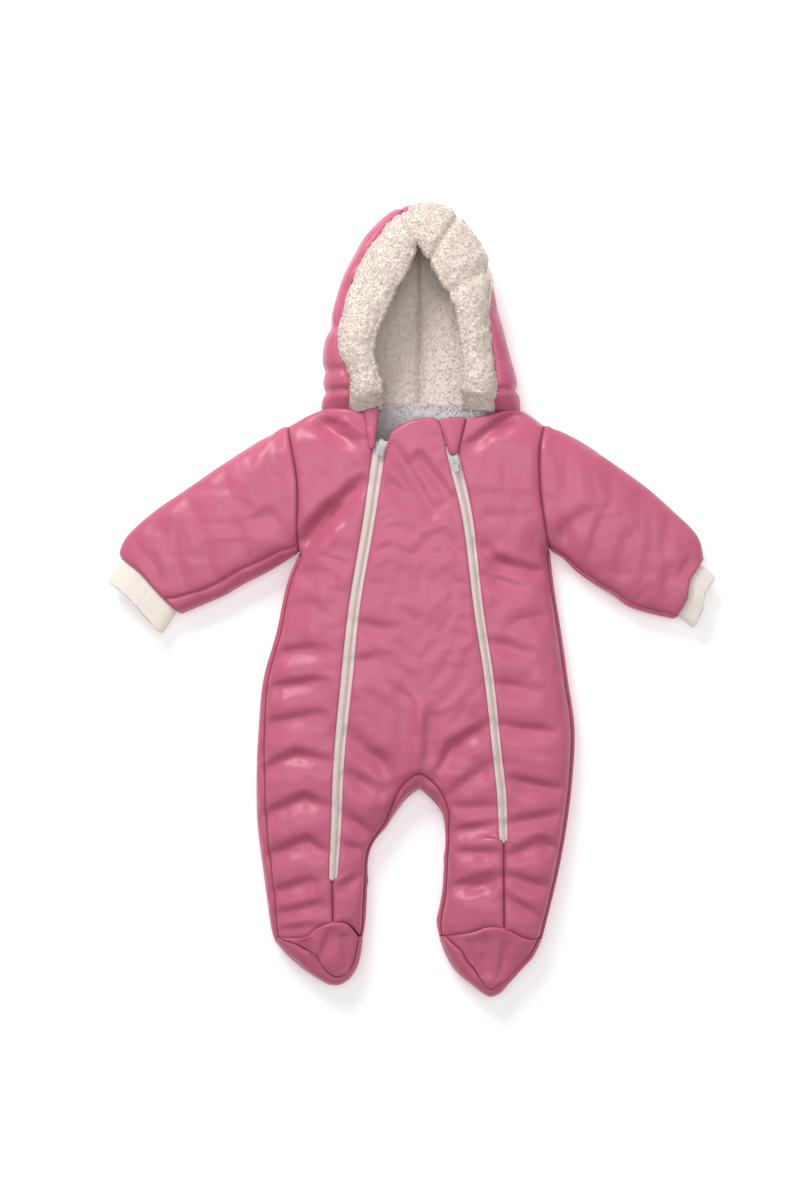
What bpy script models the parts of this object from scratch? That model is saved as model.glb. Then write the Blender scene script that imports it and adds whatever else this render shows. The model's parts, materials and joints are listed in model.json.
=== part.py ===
"""Baby snowsuit laid out on its back: padded front, back and sleeves, footed legs, two long zips,
rib cuffs and a teddy-lined hood whose edge is turned out.

Every size below is in millimetres. +X is the wearer's left, +Y runs from the feet to the hood and
+Z from the surface that the suit lies on to its front.
"""

import math

import bmesh
import bpy
import numpy as np

MM = 0.001
FRAME_SHIFT = (0, 2.1, 0)  # centres the suit on the origin

# Cloth
WALL = 8.0  # shell fabric, wadding and teddy lining together
SEAM_GAP = 0.35  # between pieces that a seam joins
CROSS_GAP = 0.5  # at the armholes and ankles, where the seam runs aslant
SHELL_WALL = 3.2  # the hood's outer fabric with thin wadding
TEDDY_WALL = 4.0  # teddy lining
FACING_PILE = 4.0  # how far the turned-out facing stands above the hood's shell
RIB_WALL = 2.2
GUARD_WALL = 3.0
NECK_LINING_WALL = 3.0

# Height of the laid-out suit
BODY_LOFT = 46.0
SLEEVE_DROP = 8.0  # how much lower the sleeves lie
FOOT_DROP = 7.0
EDGE_RISE = 18.0  # height of the side seams
TOP_ROLL = 34.0  # how far in from its edge the front rolls over
BOTTOM_ROLL = 18.0
CROWN_REACH = 105.0
CROWN_SHARE = 0.14
CENTRE_X = 9.0  # the body's middle

# Zips
TAPE_WALL = 1.2
TAPE_SINK = 2.6  # how far the tape lies below the panels
COIL_WIDTH = 4.0
COIL_STEP = 0.4  # how far out each side of the coil slopes
COIL_WALL = 1.6
SLIDER = (7.6, 10.0, 1.4)  # across the zip, along it, and its height
BAIL = (1.6, 6.4, 3.1)
BAIL_WALL = 1.1
PULL = (5.2, 12.0, 1.0)
PULL_BAR = 1.0  # the bar under the bail that the pull turns on
PULL_SLOT = (2.4, 3.9)
PULL_HEEL = {"right": 1, "left": -1}  # 1 lies towards the hood, -1 towards the feet
SLIDER_AT = {"right": (-32.4, 156.0), "left": (45.0, 145.5)}
SLIDER_SEAT = 0.5  # above the coil
GUARD_SEAT = 0.8
BRIM_CROWN = 5.0
FACING_START = 0.03  # share of its first span where the facing starts, clear of the shell
FOOT_WALL = 5.0  # at the toes

ROLL_TURNS = (0, 32, 62, 90)  # where a roll over an edge has its points, in degrees

ABOVE_SIDE_SEAM = (0, 0, SEAM_GAP)  # the front's shift clear of the back

# How the outline is read
EDGE_NEAR = 0.25
EDGE_PROBE = 2.0
WELD = 0.02


def table(columns, *rows):
    """A short table: its rows' numbers as one array for each named column."""
    return dict(zip(columns.split(), np.array(rows, float).T))


# Edges of the laid-out suit, seen from above, as points that a smooth line joins.
EDGES = {
    "right": {
        "shoulder": table("x y", (-95, 201), (-113, 194), (-130, 185)),
        "armhole": table("x y", (-130, 185), (-120, 134), (-118, 106), (-119, 74), (-118, 50)),
        "sleeve_top": table(
            "x y", (-130, 185), (-160, 168), (-199, 143), (-235, 118), (-271, 93), (-298, 68), (-308, 47)
        ),
        "sleeve_under": table("x y", (-118, 50), (-151, 30), (-176, 17), (-197, 5), (-227, -8), (-243, -15)),
        "wrist": table("x y", (-308, 47), (-284, 29), (-264, 7), (-243, -15)),
        "side": table(
            "x y", (-118, 50), (-131, 17), (-142, -33), (-156, -83), (-161, -134), (-163, -184),
            (-162, -235), (-156, -285), (-149, -335), (-145, -355)
        ),
        "inside_leg": table(
            "x y", (9, -197), (-6, -209), (-25, -235), (-43, -262), (-46, -298), (-48, -335), (-50, -352)
        ),
        "foot_outer": table("x y", (-145, -355), (-129, -373), (-114, -386), (-98, -397)),
        "toe": table("x y", (-98, -397), (-86, -403), (-74, -403), (-64, -397)),
        "foot_inner": table("x y", (-50, -352), (-53, -373), (-57, -386), (-64, -397)),
    },
    "left": {
        "shoulder": table("x y", (116, 202), (129, 195), (141, 186)),
        "armhole": table("x y", (141, 186), (135, 162), (134, 130), (137, 98), (142, 69), (146, 53)),
        "sleeve_top": table(
            "x y", (141, 186), (178, 168), (215, 143), (249, 118), (277, 93), (301, 68), (308, 40)
        ),
        "sleeve_under": table("x y", (146, 53), (161, 43), (175, 30), (193, 17), (212, 5), (233, -8), (278, -20)),
        "wrist": table("x y", (308, 40), (294, 22), (289, 2), (278, -20)),
        "side": table(
            "x y", (146, 53), (150, 17), (158, -33), (165, -83), (172, -134), (170, -184),
            (164, -235), (155, -285), (143, -335), (138, -355)
        ),
        "inside_leg": table(
            "x y", (9, -197), (23, -209), (33, -224), (36, -247), (35, -272), (33, -304), (28, -335), (29, -352)
        ),
        "foot_outer": table("x y", (138, -355), (129, -373), (117, -386), (103, -402)),
        "toe": table("x y", (103, -402), (94, -412), (83, -416), (72, -410)),
        "foot_inner": table("x y", (29, -352), (37, -373), (48, -390), (72, -410)),
    },
}
WRIST_REACH = {"right": (-44, -44), "left": (22, -62)}  # how the arm's line runs on past the wrist
NECK_REACH = 110  # how far the neck's room runs up under the hood

# The zips, from the top of the tape down to the stop, with the width that shows between the panels, and then
# the plain seam below, where that width is nothing.
ZIPS = {
    "right": table(
        "x y width", (-31, 166, 12), (-34, 152, 11.5), (-44, 84, 10.5), (-59, -5, 10), (-67, -81, 10.5),
        (-75, -164, 9.5), (-78, -233, 9), (-81, -286, 7), (-82, -292, 0), (-81, -335, 0)
    ),
    "left": table(
        "x y width", (42, 160, 10.5), (45, 145, 10.5), (59, 84, 9), (70, -8, 8), (81, -81, 8), (90, -164, 7.5),
        (94, -200, 8), (96, -248, 6.5), (96.5, -254, 0), (97, -341.5, 0)
    ),
}
ZIP_STOP_Y = {"right": -286, "left": -248}
TAPE_END_CLEAR = 1.5
# The front's neck edge on each side of the zips, and the bib's top edge between them.
NECKLINE = {
    "right": table("x y", (-95, 201), (-79, 201.5), (-63, 200), (-48, 196)),
    "left": table("x y", (116, 202), (100, 199), (83, 195), (57, 190)),
}
BIB_TOP = table("x y", (-22, 170), (-17, 179), (0, 188), (20, 191), (27, 189), (31, 183))
BIB_SPLIT = 0.45  # share of the bib's top edge at its middle
BACK_NECK_Y = 208.0  # the top of the back at its middle
ANKLE = {
    "right": table("x y", (-145, -355), (-113, -352), (-100, -342), (-81, -335), (-64, -337), (-50, -352)),
    "left": table("x y", (138, -355), (121, -353), (97, -341.5), (80, -340), (60, -346), (29, -352)),
}

# Small flaps over the tops of the zips, and the patch that shows inside the back of the neck.
GUARDS = {
    "right": (table("x y", (-48, 201), (-34, 201)), table("x y", (-44, 161), (-38.5, 161))),
    "left": (table("x y", (31, 188), (56, 191)), table("x y", (41, 155), (48, 155))),
}
NECK_LINING = (table("x y", (-62, 206), (9, 209), (78, 206)), table("x y", (-70, 150), (9, 148), (88, 150)))

# The hood, from one front corner of the neck round the peak to the other. "out" is its widest line, "edge" is
# where the turned-out facing starts, "brim" the face opening's edge and "spine" the middle of its back.
HOOD = table(
    "out_x out_y out_z edge_x edge_y edge_z brim_x brim_y brim_z spine_y",
    (-95, 201.5, 19, -62, 203, 49, -36, 206, 54, 208.5),
    (-92, 231, 24, -63, 230, 53, -35, 226, 61, 231),
    (-92, 262, 26, -74, 261, 53, -43, 261, 64, 259),
    (-82, 303, 28, -70, 297, 52, -34, 292, 65, 289),
    (-68, 345, 28, -58, 336, 52, -19, 323, 65, 318),
    (-46, 383, 28, -36, 374, 51, -5, 348, 64, 343),
    (-11, 411, 28, -9, 402, 48, 5, 371, 60, 362),
    (32, 407, 28, 31, 400, 48, 15, 362, 62, 352),
    (58, 383, 28, 55, 377, 48, 27, 345, 64, 338),
    (79, 349, 28, 73, 345, 49, 41, 322, 65, 318),
    (91, 305, 28, 78, 301, 52, 52, 294, 65, 289),
    (102, 262, 26, 84, 262, 53, 56, 264, 64, 259),
    (111, 231, 24, 87, 228, 53, 58, 230, 60, 231),
    (116, 202.5, 19, 85, 204, 49, 58, 206, 54, 208.5),
)
HOOD_STEPS = 2  # finer rows for each row of the table
HOOD_PEAK = 6  # the row at the centre seam's top
HOOD_BACK_ROLL = 24.0

CUFF_REACH = {"right": (-15, -24), "left": (16.3, -13)}  # how far each cuff shows past its wrist
CUFF_INSET = 0.6  # how far the cuff reaches inside the sleeve, as a share of the sleeve's last rows
CUFF_GAP = 0.6
CUFF_SINK = 0.8  # height of the cuff's end, of its height at the wrist

# The largest folds on the front: a trough from one end to the other.
FOLDS = table(
    "x1 y1 x2 y2 width depth",
    (-112, 62, -62, 118, 16, 4.5),
    (-92, 194, -64, 176, 12, 4),
    (112, 194, 76, 164, 12, 4.5),
    (138, 40, 84, 82, 16, 4),
    (-148, -205, -92, -186, 14, 3.5),
    (-150, -262, -92, -232, 14, 3.5),
    (-142, -318, -92, -286, 14, 3),
    (-60, -170, -20, -208, 14, 3.5),
    (84, -160, 34, -196, 16, 4.5),
    (106, -262, 148, -250, 16, 4),
    (104, -286, 142, -322, 14, 4),
    (50, -300, 90, -286, 14, 4),
    (-198, 60, -172, 110, 16, 3.5),
    (214, 52, 196, 104, 16, 3.5),
    (252, 30, 246, 84, 16, 3.5),
    (-252, 44, -232, 84, 14, 3),
)

MATERIALS = {
    "nylon": ((0.55, 0.145, 0.235), 0.38, 0.0),
    "teddy": ((0.80, 0.72, 0.66), 0.95, 0.0),
    "neck_lining": ((0.72, 0.68, 0.68), 0.95, 0.0),
    "rib": ((0.84, 0.74, 0.65), 0.85, 0.0),
    "zip_tape": ((0.80, 0.62, 0.57), 0.75, 0.0),
    "zip_metal": ((0.80, 0.80, 0.80), 0.3, 1.0),
}


def xy(edge):
    """A table's places, as rows of x and y."""
    return np.stack([edge["x"], edge["y"]], axis=1)


def smooth_line(points, per_span=12):
    """A fine line through the points: a Catmull-Rom curve, with its ends free."""
    points = np.asarray(points, float)
    ends = np.concatenate([[2 * points[0] - points[1]], points, [2 * points[-1] - points[-2]]])
    share = np.arange(per_span)[:, None] / per_span
    spans = []
    for a, b, c, d in zip(ends, ends[1:], ends[2:], ends[3:]):
        bend = (c - a) * share + (2 * a - 5 * b + 4 * c - d) * share**2 + (3 * b - a - 3 * c + d) * share**3
        spans.append(b + 0.5 * bend)
    return np.concatenate([*spans, points[-1:]])


def progress(line):
    """The share of a line's length at each of its points."""
    length = np.cumsum(np.linalg.norm(np.diff(line, axis=0), axis=1))
    return np.concatenate([[0], length / length[-1]])


def along(line, shares):
    """Points at these shares of a line's length."""
    at = progress(line)
    return np.stack([np.interp(shares, at, line[:, k]) for k in range(line.shape[1])], axis=1)


def even(line, spans):
    """Evenly spaced points along a line."""
    return along(line, np.linspace(0, 1, spans + 1))


def joined(*lines):
    """Lines that follow one another, as one."""
    return np.concatenate([lines[0], *(line[1:] for line in lines[1:])])


def smoothstep(share):
    share = np.clip(share, 0, 1)
    return share * share * (3 - 2 * share)


LINES = {side: {name: smooth_line(xy(edge)) for name, edge in edges.items()} for side, edges in EDGES.items()}


def suit_outline():
    """The whole outline as one closed line. It runs on past the wrists and the neck, which are open."""
    halves = []
    for side, line in LINES.items():
        reach = np.array(WRIST_REACH[side])
        halves.append(
            np.concatenate(
                [
                    line["shoulder"][:1] + (0, NECK_REACH),
                    line["shoulder"],
                    line["sleeve_top"],
                    line["sleeve_top"][-1:] + reach,
                    line["sleeve_under"][-1:] + reach,
                    line["sleeve_under"][::-1],
                    line["side"],
                    line["foot_outer"],
                    line["toe"],
                    line["foot_inner"][::-1],
                    line["inside_leg"][::-1],
                ]
            )
        )
    whole = np.concatenate([halves[0], halves[1][::-1]])
    moved = np.linalg.norm(whole - np.roll(whole, 1, axis=0), axis=1) > 1e-6
    return whole[moved]


OUTLINE = suit_outline()


def nearest_outline(points):
    """How far inside the outline each point is, and the vector to it from the nearest place on the outline."""
    best = np.full(len(points), np.inf)
    offset = np.zeros((len(points), 2))
    crossings = np.zeros(len(points), int)
    for a, b in zip(OUTLINE, np.roll(OUTLINE, -1, axis=0)):
        d = b - a
        share = np.clip(((points - a) @ d) / (d @ d), 0, 1)
        away = points - a - share[:, None] * d
        gap = np.linalg.norm(away, axis=1)
        nearer = gap < best
        best[nearer] = gap[nearer]
        offset[nearer] = away[nearer]
        if a[1] != b[1]:
            level = (points[:, 1] >= min(a[1], b[1])) & (points[:, 1] < max(a[1], b[1]))
            crossings += level & (points[:, 0] < a[0] + (points[:, 1] - a[1]) * d[0] / d[1])
    return np.where(crossings % 2 == 1, best, 0), offset


def from_outline(points):
    """How far inside the outline each point is, and the way further in from there."""
    depth, offset = nearest_outline(points)
    inward = offset / np.maximum(np.linalg.norm(offset, axis=1), 1e-9)[:, None]
    at_edge = depth < EDGE_NEAR
    depth[at_edge] = 0
    if at_edge.any():
        ways = np.zeros((at_edge.sum(), 2))
        for angle in np.linspace(0, 2 * math.pi, 24, endpoint=False):
            way = np.array([math.cos(angle), math.sin(angle)])
            reached, _ = nearest_outline(points[at_edge] + EDGE_PROBE * way)
            ways += reached[:, None] * way
        inward[at_edge] = ways / np.maximum(np.linalg.norm(ways, axis=1), 1e-9)[:, None]
    return depth, inward


def loft(points):
    """Height of the front above the surface, well in from its edges."""
    sleeve = smoothstep((abs(points[:, 0] - CENTRE_X) - 130) / 170)
    foot = smoothstep((-points[:, 1] - 325) / 70)
    return BODY_LOFT - SLEEVE_DROP * sleeve - FOOT_DROP * foot


def fold_depth(points):
    """How far the largest folds sink the front."""
    depth = np.zeros(len(points))
    for x1, y1, x2, y2, width, deep in zip(*FOLDS.values()):
        start, span = np.array([x1, y1]), np.array([x2 - x1, y2 - y1])
        share = np.clip(((points - start) @ span) / (span @ span), 0, 1)
        away = np.linalg.norm(points - start - share[:, None] * span, axis=1)
        depth += deep * np.exp(-((away / width) ** 2))
    return depth


def cloth(points, face):
    """Places on the suit's outside, and the way out there, for places seen from above."""
    flat = np.asarray(points, float).reshape(-1, 2)
    depth, inward = from_outline(flat)
    reach = TOP_ROLL if face == "front" else BOTTOM_ROLL
    across = 1 - np.clip(depth / reach, 0, 1)
    up = np.sqrt(1 - across**2)
    if face == "front":
        high = loft(flat) - EDGE_RISE
        crown = CROWN_SHARE * smoothstep(depth / CROWN_REACH) + (1 - CROWN_SHARE) * up
        z = EDGE_RISE + high * crown - fold_depth(flat) * smoothstep(depth / TOP_ROLL)
        out = np.column_stack([-inward * (high * across)[:, None], reach * up])
    else:
        z = EDGE_RISE * (1 - up)
        out = np.column_stack([-inward * (EDGE_RISE * across)[:, None], -reach * up])
    out /= np.linalg.norm(out, axis=1)[:, None]
    shape = np.shape(points)[:-1] + (3,)
    return np.column_stack([flat, z]).reshape(shape), out.reshape(shape)


def roll_shares(length, middle, start=None, end=None):
    """Shares of a length: close together where the cloth rolls over at either end, and even between."""
    steps = 1 - np.cos(np.radians(ROLL_TURNS))
    first = start * steps / length if start else np.zeros(1)
    last = 1 - end * steps[::-1] / length if end else np.ones(1)
    return np.concatenate([first, np.linspace(first[-1], last[0], middle + 2)[1:-1], last])


def patch(top, bottom, start, end):
    """A grid of places between four edges. Its rows run from start to end, from the top one to the bottom one."""
    u = ((progress(top) + progress(bottom)) / 2)[None, :, None]
    v = ((progress(start) + progress(end)) / 2)[:, None, None]
    corners = (1 - v) * ((1 - u) * top[0] + u * top[-1]) + v * ((1 - u) * bottom[0] + u * bottom[-1])
    return (1 - v) * top + v * bottom + (1 - u) * start[:, None] + u * end[:, None] - corners


def layer(places, out, above, below):
    """A layer of cloth: its outer and inner places, so far above and below these."""
    return places + out * above, places - out * below


def panel(grid, face, above=0.0, below=WALL, shift=(0, 0, 0)):
    """A layer of cloth on the suit's front or back over a grid of places, shifted clear of the next piece."""
    places, out = cloth(grid, face)
    return layer(places + shift, out, above, below)


def make_materials():
    for name, (colour, roughness, metallic) in MATERIALS.items():
        material = bpy.data.materials.new(name)
        material.use_nodes = True
        shader = material.node_tree.nodes["Principled BSDF"]
        shader.inputs["Base Color"].default_value = (*colour, 1)
        shader.inputs["Roughness"].default_value = roughness
        shader.inputs["Metallic"].default_value = metallic


def make_collections():
    suit = bpy.data.collections.new("snowsuit")
    cutters = bpy.data.collections.new("cutters")
    cutters.hide_render = True
    for collection in (suit, cutters):
        bpy.context.scene.collection.children.link(collection)


def link(name, data, material):
    obj = bpy.data.objects.new(name, data)
    bpy.data.collections["snowsuit"].objects.link(obj)
    own = bpy.data.materials[material].copy()
    own.name = f"{name}_{material}"
    data.materials.append(own)
    return obj


def cloth_solid(name, material, *layers):
    """One closed piece of cloth from grids whose edges meet, each a layer's outer and inner places."""
    mesh = bmesh.new()
    under = mesh.verts.layers.float_vector.new("under")
    for outer, inner in layers:
        rows, columns = outer.shape[:2]
        verts = [mesh.verts.new(place) for place in (outer.reshape(-1, 3) + FRAME_SHIFT) * MM]
        for vert, place in zip(verts, (inner.reshape(-1, 3) + FRAME_SHIFT) * MM):
            vert[under] = place
        for row in range(rows - 1):
            for column in range(columns - 1):
                first = row * columns + column
                mesh.faces.new([verts[k] for k in (first, first + 1, first + 1 + columns, first + columns)])
    bmesh.ops.remove_doubles(mesh, verts=mesh.verts[:], dist=WELD * MM)
    bmesh.ops.recalc_face_normals(mesh, faces=mesh.faces[:])
    grown = bmesh.ops.extrude_face_region(mesh, geom=mesh.faces[:], use_keep_orig=True)
    for vert in grown["geom"]:
        if isinstance(vert, bmesh.types.BMVert):
            vert.co = vert[under]
    bmesh.ops.triangulate(mesh, faces=mesh.faces[:], quad_method="SHORT_EDGE")
    bmesh.ops.recalc_face_normals(mesh, faces=mesh.faces[:])
    data = bpy.data.meshes.new(name)
    mesh.to_mesh(data)
    mesh.free()
    data.attributes.remove(data.attributes["under"])
    data.shade_smooth()
    data.set_sharp_from_angle(angle=math.radians(50))
    return link(name, data, material)


def zip_side(side, towards, clear):
    """A line beside a zip: towards the suit's side (-1) or its middle (1), so far clear of what shows."""
    right_way = towards if side == "right" else -towards
    rows = ZIPS[side]
    line = smooth_line(np.stack([rows["x"], rows["y"], rows["width"]], axis=1))
    half = np.maximum(line[:, 2], 0) / 2 + clear
    return np.column_stack([line[:, 0] + right_way * half, line[:, 1]])


def cut_at(line, point):
    """The two parts of a line on either side of its place nearest a point."""
    nearest = np.argmin(np.linalg.norm(line - point, axis=1))
    return np.concatenate([line[:nearest], [point]]), np.concatenate([[point], line[nearest + 1 :]])


def armhole_points(side):
    return along(LINES[side]["armhole"], roll_shares(140, 2, start=TOP_ROLL, end=TOP_ROLL))


def ankle_points(side):
    """The ankle seam's points from the suit's side to the zip's seam, and from there to the inside of the leg."""
    line = smooth_line(xy(ANKLE[side]))
    outer, inner = cut_at(line, line[np.argmin(abs(line[:, 0] - ZIPS[side]["x"][-1]))])
    return along(outer, roll_shares(70, 2, start=TOP_ROLL)), along(inner, roll_shares(48, 0, end=TOP_ROLL))


def seam_points(line, shares, stop_y):
    """Points on the side of a zip, one of them at its stop."""
    stop = np.interp(-stop_y, -line[:, 1], progress(line))
    shares = shares.copy()
    shares[np.argmin(abs(shares - stop))] = stop
    return along(line, shares)


def outer_edge(side):
    """The edge of the front and of the back from the neck to the ankle, by way of the armhole."""
    line = LINES[side]
    return joined(even(line["shoulder"], 2), armhole_points(side), even(line["side"], 12))


def front_side(side):
    outer = outer_edge(side)
    seam = zip_side(side, -1, SEAM_GAP / 2)
    neck = smooth_line(xy(NECKLINE[side]))
    inner = seam_points(np.concatenate([neck[-1:], seam]), progress(outer), ZIP_STOP_Y[side])
    ankle, _ = ankle_points(side)
    ankle[-1] = inner[-1]
    grid = patch(along(neck, progress(ankle)), ankle, outer, inner)
    cloth_solid(f"front_side_{side}", "nylon", panel(grid, "front", shift=ABOVE_SIDE_SEAM))


def middle_edge(side, top):
    """The middle of the front or back down to the crotch, and then the inside of a leg down to the ankle."""
    leg = LINES[side]["inside_leg"]
    return joined(even(np.array([top, leg[0]]), 15), even(leg, 8))


def front_centre():
    bib = smooth_line(xy(BIB_TOP))
    middle = along(bib, [BIB_SPLIT])[0]
    first, last = cut_at(bib, middle)
    layers = []
    for side, top in (("right", first), ("left", last[::-1])):
        inner = middle_edge(side, middle)
        seam = zip_side(side, 1, SEAM_GAP / 2)
        outer = seam_points(np.concatenate([top[:1], seam]), progress(inner), ZIP_STOP_Y[side])
        _, ankle = ankle_points(side)
        ankle[0] = outer[-1]
        grid = patch(along(top, progress(ankle)), ankle, outer, inner)
        layers.append(panel(grid, "front", shift=ABOVE_SIDE_SEAM))
    cloth_solid("front_centre", "nylon", *layers)


def back():
    corners = [LINES[side]["shoulder"][0] for side in ("right", "left")]
    middle = np.array([CENTRE_X, BACK_NECK_Y])
    layers = []
    for side, corner in zip(("right", "left"), corners):
        outer = outer_edge(side)
        inner = middle_edge(side, middle)
        foot = np.array([outer[-1], inner[-1]])
        across = progress(joined(*ankle_points(side)))
        grid = patch(along(np.array([corner, middle]), across), along(foot, across), outer, inner)
        layers.append(panel(grid, "back"))
    cloth_solid("back", "nylon", *layers)


def sleeve(side):
    line = LINES[side]
    reach = 1 if side == "left" else -1
    apart = (reach * CROSS_GAP, 0, 0)
    armhole = armhole_points(side)
    top, under = even(line["sleeve_top"], 9), even(line["sleeve_under"], 9)
    grid = patch(top, under, armhole, along(line["wrist"], progress(armhole)))
    layers = [panel(grid, face, shift=apart) for face in ("front", "back")]
    cloth_solid(f"sleeve_{side}", "nylon", *layers)
    cuff = []
    for face in ("front", "back"):
        places, out = cloth(grid[:, -2:], face)
        places += apart - out * (WALL + CUFF_GAP)
        places[:, 0] += (places[:, 1] - places[:, 0]) * (1 - CUFF_INSET)
        end = places[:, 1:] + (*CUFF_REACH[side], 0)
        end[..., 2] = EDGE_RISE + (end[..., 2] - EDGE_RISE) * CUFF_SINK
        tube = np.concatenate([places, (places[:, 1:] + end) / 2, end], axis=1)
        ways = np.concatenate([out, np.repeat(out[:, 1:], 2, axis=1)], axis=1)
        cuff.append(layer(tube, ways, 0, RIB_WALL))
    cloth_solid(f"cuff_{side}", "rib", *cuff)


def foot(side):
    line = LINES[side]
    down = roll_shares(52, 0, end=TOP_ROLL)
    seam = joined(*ankle_points(side))
    heel = along(seam[[0, -1]], progress(seam))
    ankles = {"front": seam, "back": heel}
    wall = np.linspace(WALL, FOOT_WALL, len(down))[:, None, None]
    for name, face, lift in (("toe_cap", "front", SEAM_GAP), ("sole", "back", 0)):
        edges = [along(line[edge], down) for edge in ("foot_outer", "foot_inner")]
        grid = patch(ankles[face], along(line["toe"], progress(seam)), *edges)
        foot_layer = panel(grid, face, below=wall, shift=(0, -CROSS_GAP, lift))
        cloth_solid(f"{name}_{side}", "nylon", foot_layer)


def zip_tape(side):
    """The tape, with the closed coil along its middle, as far as the stop."""
    edges = [zip_side(side, towards, -CROSS_GAP) for towards in (-1, 1)]
    keep = [edge[edge[:, 1] >= ZIP_STOP_Y[side] + TAPE_END_CLEAR] for edge in edges]
    outer, inner = (even(edge, 17) for edge in keep)
    width = np.linalg.norm(inner - outer, axis=1)[:, None]
    coil = np.minimum(COIL_WIDTH, width - 2 * COIL_STEP - 1) / 2
    from_middle = [-width / 2, -coil - COIL_STEP, -coil, coil, coil + COIL_STEP, width / 2]
    shares = 0.5 + np.concatenate(from_middle, axis=1) / width
    grid = outer[:, None] + shares[..., None] * (inner - outer)[:, None]
    places, out = cloth(grid, "front")
    raised = np.array([0, 0, COIL_WALL, COIL_WALL, 0, 0])[None, :, None]
    top = places + (0, 0, SEAM_GAP) - out * (TAPE_SINK - raised)
    bottom = places + (0, 0, SEAM_GAP) - out * (TAPE_SINK + TAPE_WALL)
    cloth_solid(f"zip_tape_{side}", "zip_tape", (top, bottom))


def guard(side):
    top, bottom = (even(smooth_line(xy(edge)), 3) for edge in GUARDS[side])
    grid = patch(top, bottom, even(np.array([top[0], bottom[0]]), 5), even(np.array([top[-1], bottom[-1]]), 5))
    flap = panel(grid, "front", GUARD_WALL + GUARD_SEAT, -GUARD_SEAT, shift=ABOVE_SIDE_SEAM)
    cloth_solid(f"zip_guard_{side}", "nylon", flap)


def neck_lining():
    top, bottom = (even(smooth_line(xy(edge)), 8) for edge in NECK_LINING)
    grid = patch(top, bottom, even(np.array([top[0], bottom[0]]), 3), even(np.array([top[-1], bottom[-1]]), 3))
    inside = WALL + SEAM_GAP
    cloth_solid("neck_lining", "neck_lining", panel(grid, "back", -inside, inside + NECK_LINING_WALL))


def quarter(start, corner, end, steps):
    """A quarter of an ellipse from start to end, whose tangents meet at a corner."""
    turn = np.linspace(0, math.pi / 2, steps + 1)[:, None, None]
    return start + (corner - start) * np.sin(turn) + (end - corner) * (1 - np.cos(turn))


def hood_form():
    """The hood as a grid from one neck corner round its peak to the other, each row running from the middle of
    its back, out over its widest line and up to the brim. Gives the places and the ways out."""
    keys = smooth_line(np.stack(list(HOOD.values()), axis=1), HOOD_STEPS)
    out, edge, brim = keys[:, 0:3], keys[:, 3:6], keys[:, 6:9]
    spine = np.column_stack([np.full(len(keys), CENTRE_X), keys[:, 9], np.zeros(len(keys))])
    floor = out * (1, 1, 0)
    way = spine - floor
    way /= np.linalg.norm(way, axis=1)[:, None]
    heel = floor + way * HOOD_BACK_ROLL
    flat = spine + (heel - spine) * np.linspace(0, 1, 3)[:, None, None]
    up = quarter(heel, floor, out, 3)
    over = quarter(out, out * (1, 1, 0) + edge * (0, 0, 1), edge, 3)
    turned = edge + (brim - edge) * np.linspace(0, 1, 4)[:, None, None]
    turned[..., 2] += BRIM_CROWN * np.sin(np.linspace(0, math.pi, 4))[:, None]
    grid = np.concatenate([flat, up[1:], over[1:], turned[1:]]).transpose(1, 0, 2)
    normal = np.cross(np.gradient(grid, axis=0), np.gradient(grid, axis=1))
    normal[[0, -1], :, 1] = 0
    normal /= np.linalg.norm(normal, axis=2)[..., None]
    if normal[len(keys) // 4, 0, 2] > 0:
        normal = -normal
    return grid, normal


def hood():
    grid, out = hood_form()
    peak = HOOD_PEAK * HOOD_STEPS
    shell_end = grid.shape[1] - 4
    halves = {"right": (slice(0, peak + 1), -1), "left": (slice(peak, None), 1)}
    inside = SHELL_WALL + SEAM_GAP
    for side, (rows, way) in halves.items():
        apart = np.array([way * SEAM_GAP / 2, 0, 0])
        places, ways = grid[rows] + apart, out[rows]
        shell = layer(places[:, : shell_end + 1], ways[:, : shell_end + 1], 0, SHELL_WALL)
        cloth_solid(f"hood_shell_{side}", "nylon", shell)
        lining = layer(places, ways, -inside, inside + TEDDY_WALL)
        cloth_solid(f"hood_lining_{side}", "teddy", lining)
    places = grid[:, shell_end:].copy()
    places[:, 0] += (places[:, 1] - places[:, 0]) * FACING_START
    cloth_solid("hood_facing", "teddy", layer(places, out[:, shell_end:], FACING_PILE, SHELL_WALL))


def slider_frame(side):
    """A slider's place on its zip's coil, and the way up the zip there."""
    at = np.array([SLIDER_AT[side]], float)
    rows = ZIPS[side]
    way = np.array([rows["x"][0] - rows["x"][1], rows["y"][0] - rows["y"][1]])
    places, _ = cloth(at, "front")
    height = places[0, 2] + SEAM_GAP - TAPE_SINK + COIL_WALL + SLIDER_SEAT
    return np.array([*at[0], height]), math.atan2(way[1], way[0]) - math.pi / 2


def box_mesh(name, size, middle):
    """A box's mesh, in metres, from its size and middle in millimetres."""
    mesh = bmesh.new()
    bmesh.ops.create_cube(mesh, size=1.0)
    bmesh.ops.scale(mesh, verts=mesh.verts[:], vec=[length * MM for length in size])
    bmesh.ops.translate(mesh, verts=mesh.verts[:], vec=[length * MM for length in middle])
    data = bpy.data.meshes.new(name)
    mesh.to_mesh(data)
    mesh.free()
    return data


def place(obj, at, heading):
    obj.location = (np.array(at) + FRAME_SHIFT) * MM
    obj.rotation_euler = (0, 0, heading)


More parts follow.
